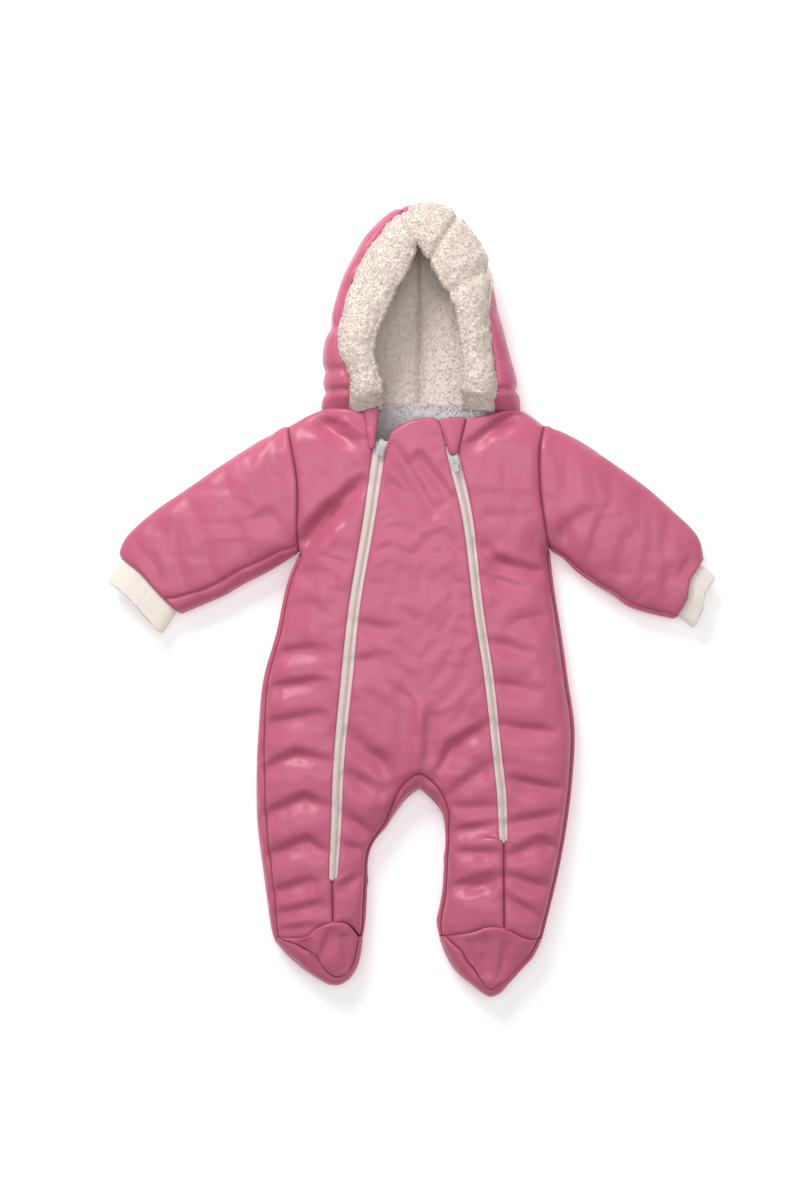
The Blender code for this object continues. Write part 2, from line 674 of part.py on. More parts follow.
def cut(obj, name, size, middle, operation):
    """Cuts a box out of an object, or joins one to it, in the object's own frame."""
    cutter = bpy.data.objects.new(name, box_mesh(name, size, middle))
    bpy.data.collections["cutters"].objects.link(cutter)
    cutter.location, cutter.rotation_euler = obj.location, obj.rotation_euler
    cutter.hide_render = True
    cutter.display_type = "WIRE"
    boolean = obj.modifiers.new(name, "BOOLEAN")
    boolean.operation = operation
    boolean.solver = "EXACT"
    boolean.object = cutter


def slider(side):
    """The slider with its bail, and the pull whose bar lies under that bail."""
    at, heading = slider_frame(side)
    body = link(f"zip_slider_{side}", box_mesh("slider", SLIDER, (0, 0, SLIDER[2] / 2)), "zip_metal")
    place(body, at, heading)
    window = BAIL[2] - BAIL_WALL
    cut(body, f"bail_{side}", (*BAIL[:2], BAIL[2] + SLIDER[2] / 2), (0, 0, SLIDER[2] * 0.75 + BAIL[2] / 2), "UNION")
    through = (BAIL[0] * 2, BAIL[1] - 2 * BAIL_WALL, window)
    cut(body, f"bail_window_{side}", through, (0, 0, SLIDER[2] + window / 2), "DIFFERENCE")
    heel = PULL_HEEL[side]
    middle = heel * (PULL[1] / 2 - PULL_BAR / 2)
    pull = link(f"zip_pull_{side}", box_mesh("pull", PULL, (0, middle, 0)), "zip_metal")
    place(pull, at + (0, 0, SLIDER[2] + window / 2), heading)
    slot_middle = heel * (PULL_BAR / 2 + PULL_SLOT[1] / 2)
    cut(pull, f"pull_slot_{side}", (*PULL_SLOT, PULL[2] * 3), (0, slot_middle, 0), "DIFFERENCE")


def main():
    for obj in list(bpy.data.objects):
        bpy.data.objects.remove(obj)
    make_collections()
    make_materials()
    front_centre()
    back()
    neck_lining()
    hood()
    for side in ("right", "left"):
        front_side(side)
        sleeve(side)
        foot(side)
        zip_tape(side)
        guard(side)
        slider(side)


if __name__ == "__main__":
    main()
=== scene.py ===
"""Looks of the padded baby snowsuit, laid out on its back: puffed nylon panels, zips, a teddy-lined hood and
rib cuffs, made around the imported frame."""

import json
import math

import bmesh
import bpy
import numpy as np
from bpy.props import FloatProperty, FloatVectorProperty, IntProperty, PointerProperty
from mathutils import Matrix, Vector, noise

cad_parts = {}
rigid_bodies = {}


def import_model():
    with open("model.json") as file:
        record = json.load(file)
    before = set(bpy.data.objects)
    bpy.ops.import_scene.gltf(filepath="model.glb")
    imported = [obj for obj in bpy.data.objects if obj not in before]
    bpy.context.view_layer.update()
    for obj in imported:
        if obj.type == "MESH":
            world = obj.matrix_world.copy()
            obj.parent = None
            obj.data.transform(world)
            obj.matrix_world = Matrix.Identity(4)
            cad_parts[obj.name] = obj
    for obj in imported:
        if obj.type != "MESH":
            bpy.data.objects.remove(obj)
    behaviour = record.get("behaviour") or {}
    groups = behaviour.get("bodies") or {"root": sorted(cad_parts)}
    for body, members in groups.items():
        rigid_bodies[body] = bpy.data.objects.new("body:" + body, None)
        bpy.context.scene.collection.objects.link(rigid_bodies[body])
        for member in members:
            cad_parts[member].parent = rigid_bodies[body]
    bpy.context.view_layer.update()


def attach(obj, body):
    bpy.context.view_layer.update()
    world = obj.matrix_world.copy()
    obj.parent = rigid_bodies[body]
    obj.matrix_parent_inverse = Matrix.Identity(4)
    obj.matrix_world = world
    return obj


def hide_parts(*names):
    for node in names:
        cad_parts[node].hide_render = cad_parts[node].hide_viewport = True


bl_info = {
    "name": "Padded Snowsuit",
    "version": (1, 0, 0),
    "blender": (4, 5, 0),
    "location": "View3D > Sidebar > Snowsuit",
    "description": "Sews a laid-out baby snowsuit with puffed panels, two zips and a teddy-lined hood",
    "category": "Add Mesh",
}

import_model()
GARMENT = "garment"

# The tables below are in millimetres, seen from above: +X is the wearer's left and +Y runs to the hood.
MM = 0.001
FRAME_SHIFT = np.array([0, 2.1, 0])
CENTRE_X = 9.0
NECK_REACH = 110

EDGE_RISE = 18.0  # height of the side seams
BODY_LOFT = 43.0  # height of the front before it is puffed
SLEEVE_DROP = 8.0  # how much lower the sleeves are, from so far off the middle
SLEEVE_START = 130
SLEEVE_BLEND = 170
FOOT_DROP = 5.0  # and the feet, from so far down
FOOT_START = 325
FOOT_BLEND = 70
TOP_ROLL = 36.0  # how far in from the outline the front and the back go on turning over
BOTTOM_ROLL = 18.0
CROWN_REACH = 105.0  # the front goes on rising gently this far in, by this share of its height
CROWN_SHARE = 0.12
EDGE_NEAR = 0.25  # a point this near the outline counts as on it
EDGE_PROBE = 2.0
ROLL_TURNS = (0, 10, 20, 31, 42, 54, 66, 78, 90)


def table(columns, *rows):
    """A short table: its rows' numbers as one array for each named column."""
    return dict(zip(columns.split(), np.array(rows, float).T))


# Edges of the laid-out suit, seen from above, as points that a smooth line joins.
EDGES = {
    "right": {
        "shoulder": table("x y", (-95, 201), (-113, 194), (-130, 185)),
        "armhole": table("x y", (-130, 185), (-120, 134), (-118, 106), (-119, 74), (-118, 50)),
        "sleeve_top": table(
            "x y", (-130, 185), (-160, 168), (-199, 143), (-235, 118), (-271, 93), (-298, 68), (-308, 47)
        ),
        "sleeve_under": table("x y", (-118, 50), (-151, 30), (-176, 17), (-197, 5), (-227, -8), (-243, -15)),
        "wrist": table("x y", (-308, 47), (-284, 29), (-264, 7), (-243, -15)),
        "side": table(
            "x y", (-118, 50), (-131, 17), (-142, -33), (-156, -83), (-161, -134), (-163, -184),
            (-162, -235), (-156, -285), (-149, -335), (-145, -355)
        ),
        "inside_leg": table(
            "x y", (9, -197), (-6, -209), (-25, -235), (-43, -262), (-46, -298), (-48, -335), (-50, -352)
        ),
        "foot_outer": table("x y", (-145, -355), (-129, -373), (-114, -386), (-98, -397)),
        "toe": table("x y", (-98, -397), (-86, -403), (-74, -403), (-64, -397)),
        "foot_inner": table("x y", (-50, -352), (-53, -373), (-57, -386), (-64, -397)),
    },
    "left": {
        "shoulder": table("x y", (116, 202), (129, 195), (141, 186)),
        "armhole": table("x y", (141, 186), (135, 162), (134, 130), (137, 98), (142, 69), (146, 53)),
        "sleeve_top": table(
            "x y", (141, 186), (178, 168), (215, 143), (249, 118), (277, 93), (301, 68), (308, 40)
        ),
        "sleeve_under": table("x y", (146, 53), (161, 43), (175, 30), (193, 17), (212, 5), (233, -8), (278, -20)),
        "wrist": table("x y", (308, 40), (294, 22), (289, 2), (278, -20)),
        "side": table(
            "x y", (146, 53), (150, 17), (158, -33), (165, -83), (172, -134), (170, -184),
            (164, -235), (155, -285), (143, -335), (138, -355)
        ),
        "inside_leg": table(
            "x y", (9, -197), (23, -209), (33, -224), (36, -247), (35, -272), (33, -304), (28, -335), (29, -352)
        ),
        "foot_outer": table("x y", (138, -355), (129, -373), (117, -386), (103, -402)),
        "toe": table("x y", (103, -402), (94, -412), (83, -416), (72, -410)),
        "foot_inner": table("x y", (29, -352), (37, -373), (48, -390), (72, -410)),
    },
}
WRIST_REACH = {"right": (-44, -44), "left": (22, -62)}  # how the arm's line runs on past the wrist

# The zips, from the top of the tape down to the stop, with the width that shows between the panels, and then
# the plain seam below, where that width is nothing.
ZIPS = {
    "right": table(
        "x y width", (-31, 166, 12), (-34, 152, 11.5), (-44, 84, 10.5), (-59, -5, 10), (-67, -81, 10.5),
        (-75, -164, 9.5), (-78, -233, 9), (-81, -286, 7), (-82, -292, 0), (-81, -335, 0)
    ),
    "left": table(
        "x y width", (42, 160, 10.5), (45, 145, 10.5), (59, 84, 9), (70, -8, 8), (81, -81, 8), (90, -164, 7.5),
        (94, -200, 8), (96, -248, 6.5), (96.5, -254, 0), (97, -341.5, 0)
    ),
}
ZIP_STOP_Y = {"right": -286, "left": -248}
# The front's neck edge on each side of the zips, and the bib's top edge between them.
NECKLINE = {
    "right": table("x y", (-95, 201), (-79, 201.5), (-63, 200), (-48, 196)),
    "left": table("x y", (116, 202), (100, 199), (83, 195), (57, 190)),
}
BIB_TOP = table("x y", (-22, 170), (-17, 179), (0, 188), (20, 191), (27, 189), (31, 183))
BIB_SPLIT = 0.45  # share of the bib's top edge at its middle
BACK_NECK_Y = 208.0  # the top of the back at its middle
ANKLE = {
    "right": table("x y", (-145, -355), (-113, -352), (-100, -342), (-81, -335), (-64, -337), (-50, -352)),
    "left": table("x y", (138, -355), (121, -353), (97, -341.5), (80, -340), (60, -346), (29, -352)),
}

# The hood, from one front corner of the neck round the peak to the other. "out" is its widest line, "edge" is
# where the turned-out facing starts, "brim" the face opening's edge and "spine" the middle of its back.
HOOD = table(
    "out_x out_y out_z edge_x edge_y edge_z brim_x brim_y brim_z spine_y",
    (-95, 201.5, 19, -62, 203, 49, -36, 206, 54, 208.5),
    (-92, 231, 24, -63, 230, 53, -35, 226, 61, 231),
    (-92, 262, 26, -74, 261, 53, -43, 261, 64, 259),
    (-82, 303, 28, -70, 297, 52, -34, 292, 65, 289),
    (-68, 345, 28, -58, 336, 52, -19, 323, 65, 318),
    (-46, 383, 28, -36, 374, 51, -5, 348, 64, 343),
    (-11, 411, 28, -9, 402, 48, 5, 371, 60, 362),
    (32, 407, 28, 31, 400, 48, 15, 362, 62, 352),
    (58, 383, 28, 55, 377, 48, 27, 345, 64, 338),
    (79, 349, 28, 73, 345, 49, 41, 322, 65, 318),
    (91, 305, 28, 78, 301, 52, 52, 294, 65, 289),
    (102, 262, 26, 84, 262, 53, 56, 264, 64, 259),
    (111, 231, 24, 87, 228, 53, 58, 230, 60, 231),
    (116, 202.5, 19, 85, 204, 49, 58, 206, 54, 208.5),
)
# How far the back wraps over the side seams onto the front, by height up the body, and the same at the crotch.
SIDE_WRAP = {
    "right": table("y wrap", (-360, 5), (-310, 9), (-236, 10), (-192, 9), (-130, 6), (-62, 4), (50, 2)),
    "left": table("y wrap", (-360, 1.5), (50, 0.5)),
}
INSIDE_WRAP = {
    "right": table("y wrap", (-352, 1), (-262, 0.5), (-232, 2), (-215, 7), (-197, 17)),
    "left": table("y wrap", (-352, 1.5), (-262, 1), (-236, 2), (-218, 7), (-197, 17)),
}
# How far each sole wraps up, by share of the way round the foot from its outer ankle to its inner one.
SOLE_WRAP = {
    "right": table("share wrap", (0, 4), (0.12, 17), (0.3, 23), (0.45, 13), (0.6, 9), (0.75, 5), (1, 3)),
    "left": table("share wrap", (0, 3), (0.25, 5), (0.42, 9), (0.55, 8), (0.7, 16), (0.88, 17), (1, 5)),
}
# How far the sleeve's underarm seam runs inside its outline, from the armhole to the wrist.
UNDER_WRAP = {
    "right": table("share wrap", (0, 6), (0.12, 12), (0.4, 15), (0.7, 15), (0.9, 19), (1, 24)),
    "left": table("share wrap", (0, 2), (0.5, 4), (1, 4)),
}
# The main creases: soft troughs, or ridges where the depth is below nothing.
CREASES = table(
    "x1 y1 x2 y2 width depth",
    (-114, 60, -84, 96, 11, 9), (-84, 96, -52, 124, 9, 7), (-112, 44, -78, 74, 7, -3.5),
    (-104, 192, -70, 180, 8, 6), (-92, 182, -62, 166, 7, 4), (-70, 186, -50, 176, 6, -3),
    (114, 198, 92, 184, 7, 8), (92, 184, 62, 162, 8, 6), (104, 190, 76, 168, 6, -3),
    (66, 61, 92, 40, 7, 5), (92, 40, 140, 28, 8, 5), (74, 27, 112, 14, 7, 4), (70, 46, 96, 54, 6, -2.5),
    (158, 82, 162, 54, 6.9, 2.5), (-20, 160, 20, 96, 10, 3), (8, 150, 38, 110, 8, 3), (-26, 128, -4, 104, 8, 2),
    (-152, -58, -104, -50, 9, 4), (-154, -92, -100, -84, 8, 4.5), (-156, -130, -96, -118, 9, 4),
    (-158, -178, -120, -160, 9, 5), (-120, -160, -88, -166, 8, 4), (-158, -226, -112, -206, 9, 5),
    (-112, -206, -86, -214, 8, 4), (-154, -268, -110, -250, 9, 5.5), (-110, -250, -88, -262, 7, 4),
    (-150, -306, -106, -292, 8, 5), (-146, -328, -96, -316, 7, 4), (-140, -344, -104, -338, 6, 3),
    (-66, -136, -34, -168, 9, 5), (-34, -160, -22, -190, 8, 4), (-68, -180, -34, -196, 8, 4),
    (-72, -220, -44, -242, 8, 4.5), (-74, -252, -50, -262, 7, 3.5), (-76, -300, -52, -286, 7, 4),
    (10, -104, 2, -186, 8, -3), (20, -120, 14, -180, 8, 2.5),
    (82, -128, 44, -150, 9, 5.5), (44, -150, 26, -184, 8, 5), (86, -168, 46, -196, 8, 4.5),
    (90, -214, 44, -214, 7, 4), (92, -232, 46, -240, 7, 4.5), (94, -262, 50, -262, 7, 4), (92, -284, 42, -300, 8, 5),
    (94, -130, 138, -136, 8, 4.5), (104, -186, 150, -196, 8, 4.5), (100, -232, 152, -222, 8, 4),
    (98, -268, 134, -250, 8, 5), (134, -250, 154, -262, 7, 5), (98, -286, 146, -300, 8, 5.5),
    (96, -306, 132, -330, 7, 4), (64, -300, 94, -290, 7, 4),
    (-64, -20, -30, -28, 8, 2.5), (-66, -64, -36, -58, 8, 2.5), (76, -40, 112, -52, 8, 3), (80, -84, 120, -92, 8, 3),
    (-136, 20, -100, 30, 9.2, 1.8), (-142, -10, -104, -4, 9.2, 1.8), (146, -14, 108, -22, 9.2, 1.5),
    (-140, 172, -152, 120, 9.2, 1.2), (-126, 64, -150, 92, 9.2, 1.5), (-172, 44, -186, 84, 10.3, 1.5),
    (-206, 22, -214, 66, 10.3, 1.5), (-236, 6, -244, 44, 9.2, 1.5), (-262, 8, -268, 46, 9.2, 1.2),
    (-196, 140, -186, 106, 9.2, 1.2), (-236, 112, -222, 80, 9.2, 1.2), (-270, 88, -256, 60, 8, 1.1),
    (-290, 66, -276, 40, 6.9, 1.2), (-160, 160, -178, 132, 8, 0.9),
    (150, 168, 166, 122, 9.2, 1.3), (152, 66, 178, 92, 9.2, 1.5), (186, 40, 198, 84, 10.3, 1.5),
    (214, 18, 222, 64, 9.2, 1.5), (240, 2, 246, 48, 9.2, 1.3), (266, -8, 268, 34, 9.2, 1.3),
    (204, 142, 212, 104, 9.2, 1.2), (238, 118, 240, 80, 9.2, 1.2), (272, 92, 264, 62, 8, 1.1),
    (296, 60, 284, 30, 6.9, 1.2),
    (-84, -344, -92, -368, 6, 3), (-70, -350, -66, -378, 6, 3), (-112, -356, -104, -380, 6, 3),
    (76, -352, 80, -384, 7, 3), (98, -358, 94, -390, 6, 3), (60, -356, 66, -380, 6, 3),
)
SKIN_STEP = 3.6  # the cloth's grid
SEAM_SINK = 2.6
HEM_SINK = 5.0
BIB_SINK = 2.0
ZIP_SINK = 1.2
ZIP_CLEAR = 0.9  # how far the panels stand back from the tape that shows
STEEP_SIDE = np.array([-0.4, 0.9])  # a crease is steeper on its side towards the top left
CREASE_EDGE = 20.0  # the creases die away towards the outline
ZIP_CALM = 0.6  # the creases die away towards the zips, which stay nearly straight
ZIP_REACH = 12.0
ZIP_SPANS = 90
WELD = 0.02
WELD_OFFSET = 0.137  # keeps round numbers off the edges of the welding steps
NARROW = 6.0
CROTCH_BLEND = 10.0
PUFF_FRAMES = 22
WADDING = {
    "quality": 6, "mass": 0.1, "tension_stiffness": 18, "compression_stiffness": 18, "shear_stiffness": 6,
    "tension_damping": 12, "compression_damping": 12, "shear_damping": 12, "air_damping": 2,
}
LEG_TOP = 0.0  # the height up the body where the legs' looser cloth starts
LEG_BLEND = 120.0
SIDE_LOOSENESS = 0.3
CALM_WIDTH = 34.0  # the smooth middle of the front, and where it ends at the crotch
CALM_BOTTOM = -210.0
NECK_Y = 215.0
LOWEST = 0.3  # the sewn cloth's lowest height, and the lowest of its finished faces
FLOOR_CLEAR = 0.1
SHELL_WALL = 1.2
PILE_WALL = 2.0
CUFF_WALL = 0.8
TAPE_WALL = 0.6
GUARD_WALL = 1.4
GUARD_PUFF = 4.2
GUARD_LIFT = 1.2
GUARD_SHADE_FADE = 2.2  # how fast the painted shade at the guard's sewn edge dies away as the guard rises
# The size that each piece is cut to, as the width and length of the cloth that it comes from, in metres.
CUTS = {
    "front_centre": (0.20, 0.58), "front_side_right": (0.15, 0.57), "front_side_left": (0.15, 0.57),
    "back": (0.40, 0.60), "sleeve_right": (0.32, 0.28), "sleeve_left": (0.32, 0.28),
    "toe_cap_right": (0.12, 0.09), "toe_cap_left": (0.12, 0.09), "sole_right": (0.13, 0.10),
    "sole_left": (0.13, 0.10), "hood_shell_right": (0.18, 0.32), "hood_shell_left": (0.18, 0.32),
    "cuff_right": (0.20, 0.08), "cuff_left": (0.20, 0.08),
    "zip_tape_right": (0.022, 0.47), "zip_tape_left": (0.022, 0.43),
    "zip_guard_right": (0.022, 0.05), "zip_guard_left": (0.03, 0.045),
}
LEAST_SHARE = 0.31  # of that rectangle, for a piece's area
HOOD_BACK_ROLL = 24.0
HOOD_PEAK = 6
BRIM_CROWN = 5.0
TUCK_SPAN, TUCK_DROP, TUCK_REACH = 0.28, 0.3, 7  # how the hood's ends tuck under the neck edge
FACING_STEPS = 16
HOOD_ROWS = 12
HOOD_BACK_STEPS, HOOD_SIDE_STEPS, HOOD_OVER_STEPS = 7, 8, 11  # from its back, up its side, over to the facing
# Soft folds across the hood's shell, as places along it from its right corner and their depth.
HOOD_FOLDS = table("at width depth", (0.045, 0.012, 4), (0.1, 0.013, 3), (0.2, 0.014, 3.5), (0.34, 0.03, 1),
                   (0.78, 0.03, 1), (0.95, 0.01, 3.5))
SEAM_SHADE = 1.6  # how far from a seam its painted shade reaches
NECK_LINING_COLOURS = ((0.74, 0.70, 0.70), (0.62, 0.58, 0.585))
# The cuff's yarn as a shaded and a lit colour: the ribs are painted darker in their grooves and lighter on their
# ridges.
RIB_SHADED_AND_LIT_COLOURS = ((0.92, 0.82, 0.75), (1.0, 0.91, 0.84))
TAPE_COLOUR = (0.71, 0.595, 0.575)
METAL_COLOUR = (0.34, 0.335, 0.34)
CURL_THICKNESS = 0.27
CURL_SWEEP = math.radians(250)
CURL_TILT = math.radians(68)
CURL_SIZES = (0.7, 1.25)
LOOK = "snowsuit_{}"  # the CAD's own materials have the plain names
CUFF_RIBS = 46
NECK_LINING = (table("x y", (-62, 206), (9, 209), (78, 206)), table("x y", (-70, 150), (9, 148), (88, 150)))
NECK_LINING_DEPTH = 10.0
LINING_DEPTH = 9.0
LINING_SHOWN_Z = 30  # the lining has curls below this height and this near the middle
LINING_SHOWN_X = 62
OVERHANG = 9.0  # how far the facing stands out over the shell on the wearer's left
FACING_LIFT = 3.5
BRIM_ROUND = 5.0
FACING_CREASES = table("at width depth", (0.1, 0.03, 1.5), (0.3, 0.03, 1.5), (0.46, 0.009, 2.5), (0.575, 0.012, 3.5),
                       (0.7, 0.016, 3), (0.86, 0.03, 1.5))
CUFF_REACH = {"right": (-15, -24), "left": (16.3, -13)}
CUFF_INSET = 4.5
CUFF_PROFILE = ((-0.3, 0.06, 0), (-0.1, 0.02, 0), (0.1, -0.01, 0), (0.4, -0.015, 0), (0.7, -0.01, 0), (0.9, 0.0, 0.3),
                (0.98, 0.02, 0.9), (1.0, 0.05, 1.5), (0.96, 0.08, 2.4), (0.7, 0.1, 3.1), (0.2, 0.12, 3.1))
TAPE_UNDER = 3.0  # how far the tape runs on under the panels
TAPE_SINK = 2.3
TAPE_RISE = 1.0
COIL_RISE = 0.2
TOOTH_PITCH = 1.6
TOOTH_RADIUS = 0.5
TOOTH_STRETCH = (1.0, 3.4, 1.1)
GUARDS = {
    "right": (table("x y", (-50, 202), (-41, 203), (-33, 201)), table("x y", (-44, 159), (-41, 157), (-37.5, 160))),
    "left": (table("x y", (28, 188), (42, 191), (57, 191)), table("x y", (39.5, 153), (44, 151), (48.5, 154))),
}
CAMERA_AT = (-0.0115, 0.0031, 2.22)
SENSOR, LENS = 36, 62.9  # in millimetres
FLOOR_GLOW = 0.27
# Narrow lights, whose reflections give the nylon its gloss, as their sizes and places.
STRIPS = (((0.9, 0.16), (-0.1, 0.5, 2.1)), ((0.16, 0.9), (0.5, 0.2, 2.1)), ((0.16, 0.8), (-0.55, 0.1, 2.1)))


def xy(edge):
    """A table's places, as rows of x and y."""
    return np.stack([edge["x"], edge["y"]], axis=1)


def smooth_line(points, per_span=12):
    """A fine line through the points: a Catmull-Rom curve, with its ends free."""
    points = np.asarray(points, float)
    ends = np.concatenate([[2 * points[0] - points[1]], points, [2 * points[-1] - points[-2]]])
    share = np.arange(per_span)[:, None] / per_span
    spans = []
    for a, b, c, d in zip(ends, ends[1:], ends[2:], ends[3:]):
        bend = (c - a) * share + (2 * a - 5 * b + 4 * c - d) * share**2 + (3 * b - a - 3 * c + d) * share**3
        spans.append(b + 0.5 * bend)
    return np.concatenate([*spans, points[-1:]])


def progress(line):
    """The share of a line's length at each of its points."""
    length = np.cumsum(np.linalg.norm(np.diff(line, axis=0), axis=1))
    return np.concatenate([[0], length / length[-1]])


def along(line, shares):
    """Points at these shares of a line's length."""
    at = progress(line)
    return np.stack([np.interp(shares, at, line[:, k]) for k in range(line.shape[1])], axis=1)


def even(line, spans):
    """Evenly spaced points along a line."""
    return along(line, np.linspace(0, 1, spans + 1))


def joined(*lines):
    """Lines that follow one another, as one."""
    return np.concatenate([lines[0], *(line[1:] for line in lines[1:])])


def smoothstep(share):
    share = np.clip(share, 0, 1)
    return share * share * (3 - 2 * share)


LINES = {side: {name: smooth_line(xy(edge)) for name, edge in edges.items()} for side, edges in EDGES.items()}


def suit_outline():
    """The whole outline as one closed line. It runs on past the wrists and the neck, which are open."""
    halves = []
    for side, line in LINES.items():
        reach = np.array(WRIST_REACH[side])
        halves.append(
            np.concatenate(
                [
                    line["shoulder"][:1] + (0, NECK_REACH),
                    line["shoulder"],
                    line["sleeve_top"],
                    line["sleeve_top"][-1:] + reach,
                    line["sleeve_under"][-1:] + reach,
                    line["sleeve_under"][::-1],
                    line["side"],
                    line["foot_outer"],
                    line["toe"],
                    line["foot_inner"][::-1],
                    line["inside_leg"][::-1],
                ]
            )
        )
    whole = np.concatenate([halves[0], halves[1][::-1]])
    moved = np.linalg.norm(whole - np.roll(whole, 1, axis=0), axis=1) > 1e-6
    return whole[moved]


OUTLINE = suit_outline()


def nearest_outline(points):
    """How far inside the outline each point is, and the vector to it from the nearest place on the outline."""
    best = np.full(len(points), np.inf)
    offset = np.zeros((len(points), 2))
    crossings = np.zeros(len(points), int)
    for a, b in zip(OUTLINE, np.roll(OUTLINE, -1, axis=0)):
        d = b - a
        share = np.clip(((points - a) @ d) / (d @ d), 0, 1)
        away = points - a - share[:, None] * d
        gap = np.linalg.norm(away, axis=1)
        nearer = gap < best
        best[nearer] = gap[nearer]
        offset[nearer] = away[nearer]
        if a[1] != b[1]:
            level = (points[:, 1] >= min(a[1], b[1])) & (points[:, 1] < max(a[1], b[1]))
            crossings += level & (points[:, 0] < a[0] + (points[:, 1] - a[1]) * d[0] / d[1])
    return np.where(crossings % 2 == 1, best, 0), offset


def from_outline(points):
    """How far inside the outline each point is, and the way further in from there."""
    depth, offset = nearest_outline(points)
    inward = offset / np.maximum(np.linalg.norm(offset, axis=1), 1e-9)[:, None]
    at_edge = depth < EDGE_NEAR
    depth[at_edge] = 0
    if at_edge.any():
        ways = np.zeros((at_edge.sum(), 2))
        for angle in np.linspace(0, 2 * math.pi, 24, endpoint=False):
            way = np.array([math.cos(angle), math.sin(angle)])
            reached, _ = nearest_outline(points[at_edge] + EDGE_PROBE * way)
            ways += reached[:, None] * way
        inward[at_edge] = ways / np.maximum(np.linalg.norm(ways, axis=1), 1e-9)[:, None]
    return depth, inward


def loft(points):
    """Height of the front above the surface, well in from its edges."""
    sleeve = smoothstep((abs(points[:, 0] - CENTRE_X) - SLEEVE_START) / SLEEVE_BLEND)
    foot = smoothstep((-points[:, 1] - FOOT_START) / FOOT_BLEND)
    return BODY_LOFT - SLEEVE_DROP * sleeve - FOOT_DROP * foot


def patch(top, bottom, start, end):
    """A grid of places between four edges. Its rows run from start to end, from the top one to the bottom one."""
    u = ((progress(top) + progress(bottom)) / 2)[None, :, None]
    v = ((progress(start) + progress(end)) / 2)[:, None, None]
    corners = (1 - u) * (1 - v) * top[0] + u * (1 - v) * top[-1] + (1 - u) * v * bottom[0] + u * v * bottom[-1]
    return (1 - v) * top + v * bottom + (1 - u) * start[:, None] + u * end[:, None] - corners


def quarter(start, corner, end, steps):
    """A quarter of an ellipse from start to end, whose tangents meet at a corner."""
    turn = np.linspace(0, math.pi / 2, steps + 1)[:, None, None]
    return start + (corner - start) * np.sin(turn) + (end - corner) * (1 - np.cos(turn))


def settings():
    return bpy.context.scene.snowsuit


def crease_depth(points):
    """How far the main creases sink the front at each point."""
    depth = np.zeros(len(points))
    for x1, y1, x2, y2, width, deep in zip(*CREASES.values()):
        start, span = np.array([x1, y1]), np.array([x2 - x1, y2 - y1])
        share = np.clip(((points - start) @ span) / (span @ span), 0, 1)
        off = points - start - share[:, None] * span
        away = np.linalg.norm(off, axis=1)
        # Narrower on its steep side, and shallower towards its ends.
        width = width * (0.95 - 0.33 * np.tanh(off @ STEEP_SIDE / 3))
        fade = 0.45 + 0.55 * np.sin(math.pi * (0.12 + 0.76 * share))
        depth += deep * fade * np.exp(-((away / width) ** 2))
    return depth * settings().fold_depth * (1 - ZIP_CALM * np.exp(-((from_zips(points) / ZIP_REACH) ** 2)))


def from_zips(points):
    """How far each point is from the nearer zip's middle."""
    lines = [even(smooth_line(xy(zips)), ZIP_SPANS) for zips in ZIPS.values()]
    return np.linalg.norm(points[:, None] - np.concatenate(lines)[None], axis=2).min(axis=1)


def cloth(points, face):
    """Places on the suit's outside, and the way out there, for places seen from above."""
    flat = np.asarray(points, float).reshape(-1, 2)
    depth, inward = from_outline(flat)
    reach = TOP_ROLL if face == "front" else BOTTOM_ROLL
    across = 1 - np.clip(depth / reach, 0, 1)
    up = np.sqrt(1 - across**2)
    if face == "front":
        high = loft(flat) - EDGE_RISE
        crown = CROWN_SHARE * smoothstep(depth / CROWN_REACH) + (1 - CROWN_SHARE) * up
        z = EDGE_RISE + high * crown - crease_depth(flat) * smoothstep(depth / CREASE_EDGE)
        out = np.column_stack([-inward * (high * across)[:, None], reach * up])
    else:
        z = EDGE_RISE * (1 - up)
        out = np.column_stack([-inward * (EDGE_RISE * across)[:, None], -reach * up])
    out /= np.linalg.norm(out, axis=1)[:, None]
    shape = np.shape(points)[:-1] + (3,)
    return np.column_stack([flat, z]).reshape(shape), out.reshape(shape)


def roll_shares(length, step, start=None, end=None, turns=ROLL_TURNS):
    """Shares of a length about a step apart, closer together where the cloth rolls over at either end."""
    steps = 1 - np.cos(np.radians(turns))
    first = start * steps / length if start else np.zeros(1)
    last = 1 - end * steps[::-1] / length if end else np.ones(1)
    middle = max(1, round((last[0] - first[-1]) * length / step))
    return np.concatenate([first, np.linspace(first[-1], last[0], middle + 1)[1:-1], last])


def length_of(line):
    return np.linalg.norm(np.diff(line, axis=0), axis=1).sum()


def stepped(line, step=SKIN_STEP):
    """Points along a line, about a step apart."""
    return even(line, max(1, round(length_of(line) / step)))


def way_in(line):
    """The way in from each point of a line on the outline."""
    step = np.gradient(line, axis=0)
    normal = np.stack([-step[:, 1], step[:, 0]], axis=1)
    normal /= np.maximum(np.linalg.norm(normal, axis=1), 1e-9)[:, None]
    depth, _ = nearest_outline(line + normal * 3)
    side = 1 if (depth > 0).mean() > 0.5 else -1
    return normal * side


def moved_in(line, wrap):
    return line + way_in(line) * np.asarray(wrap)[:, None]


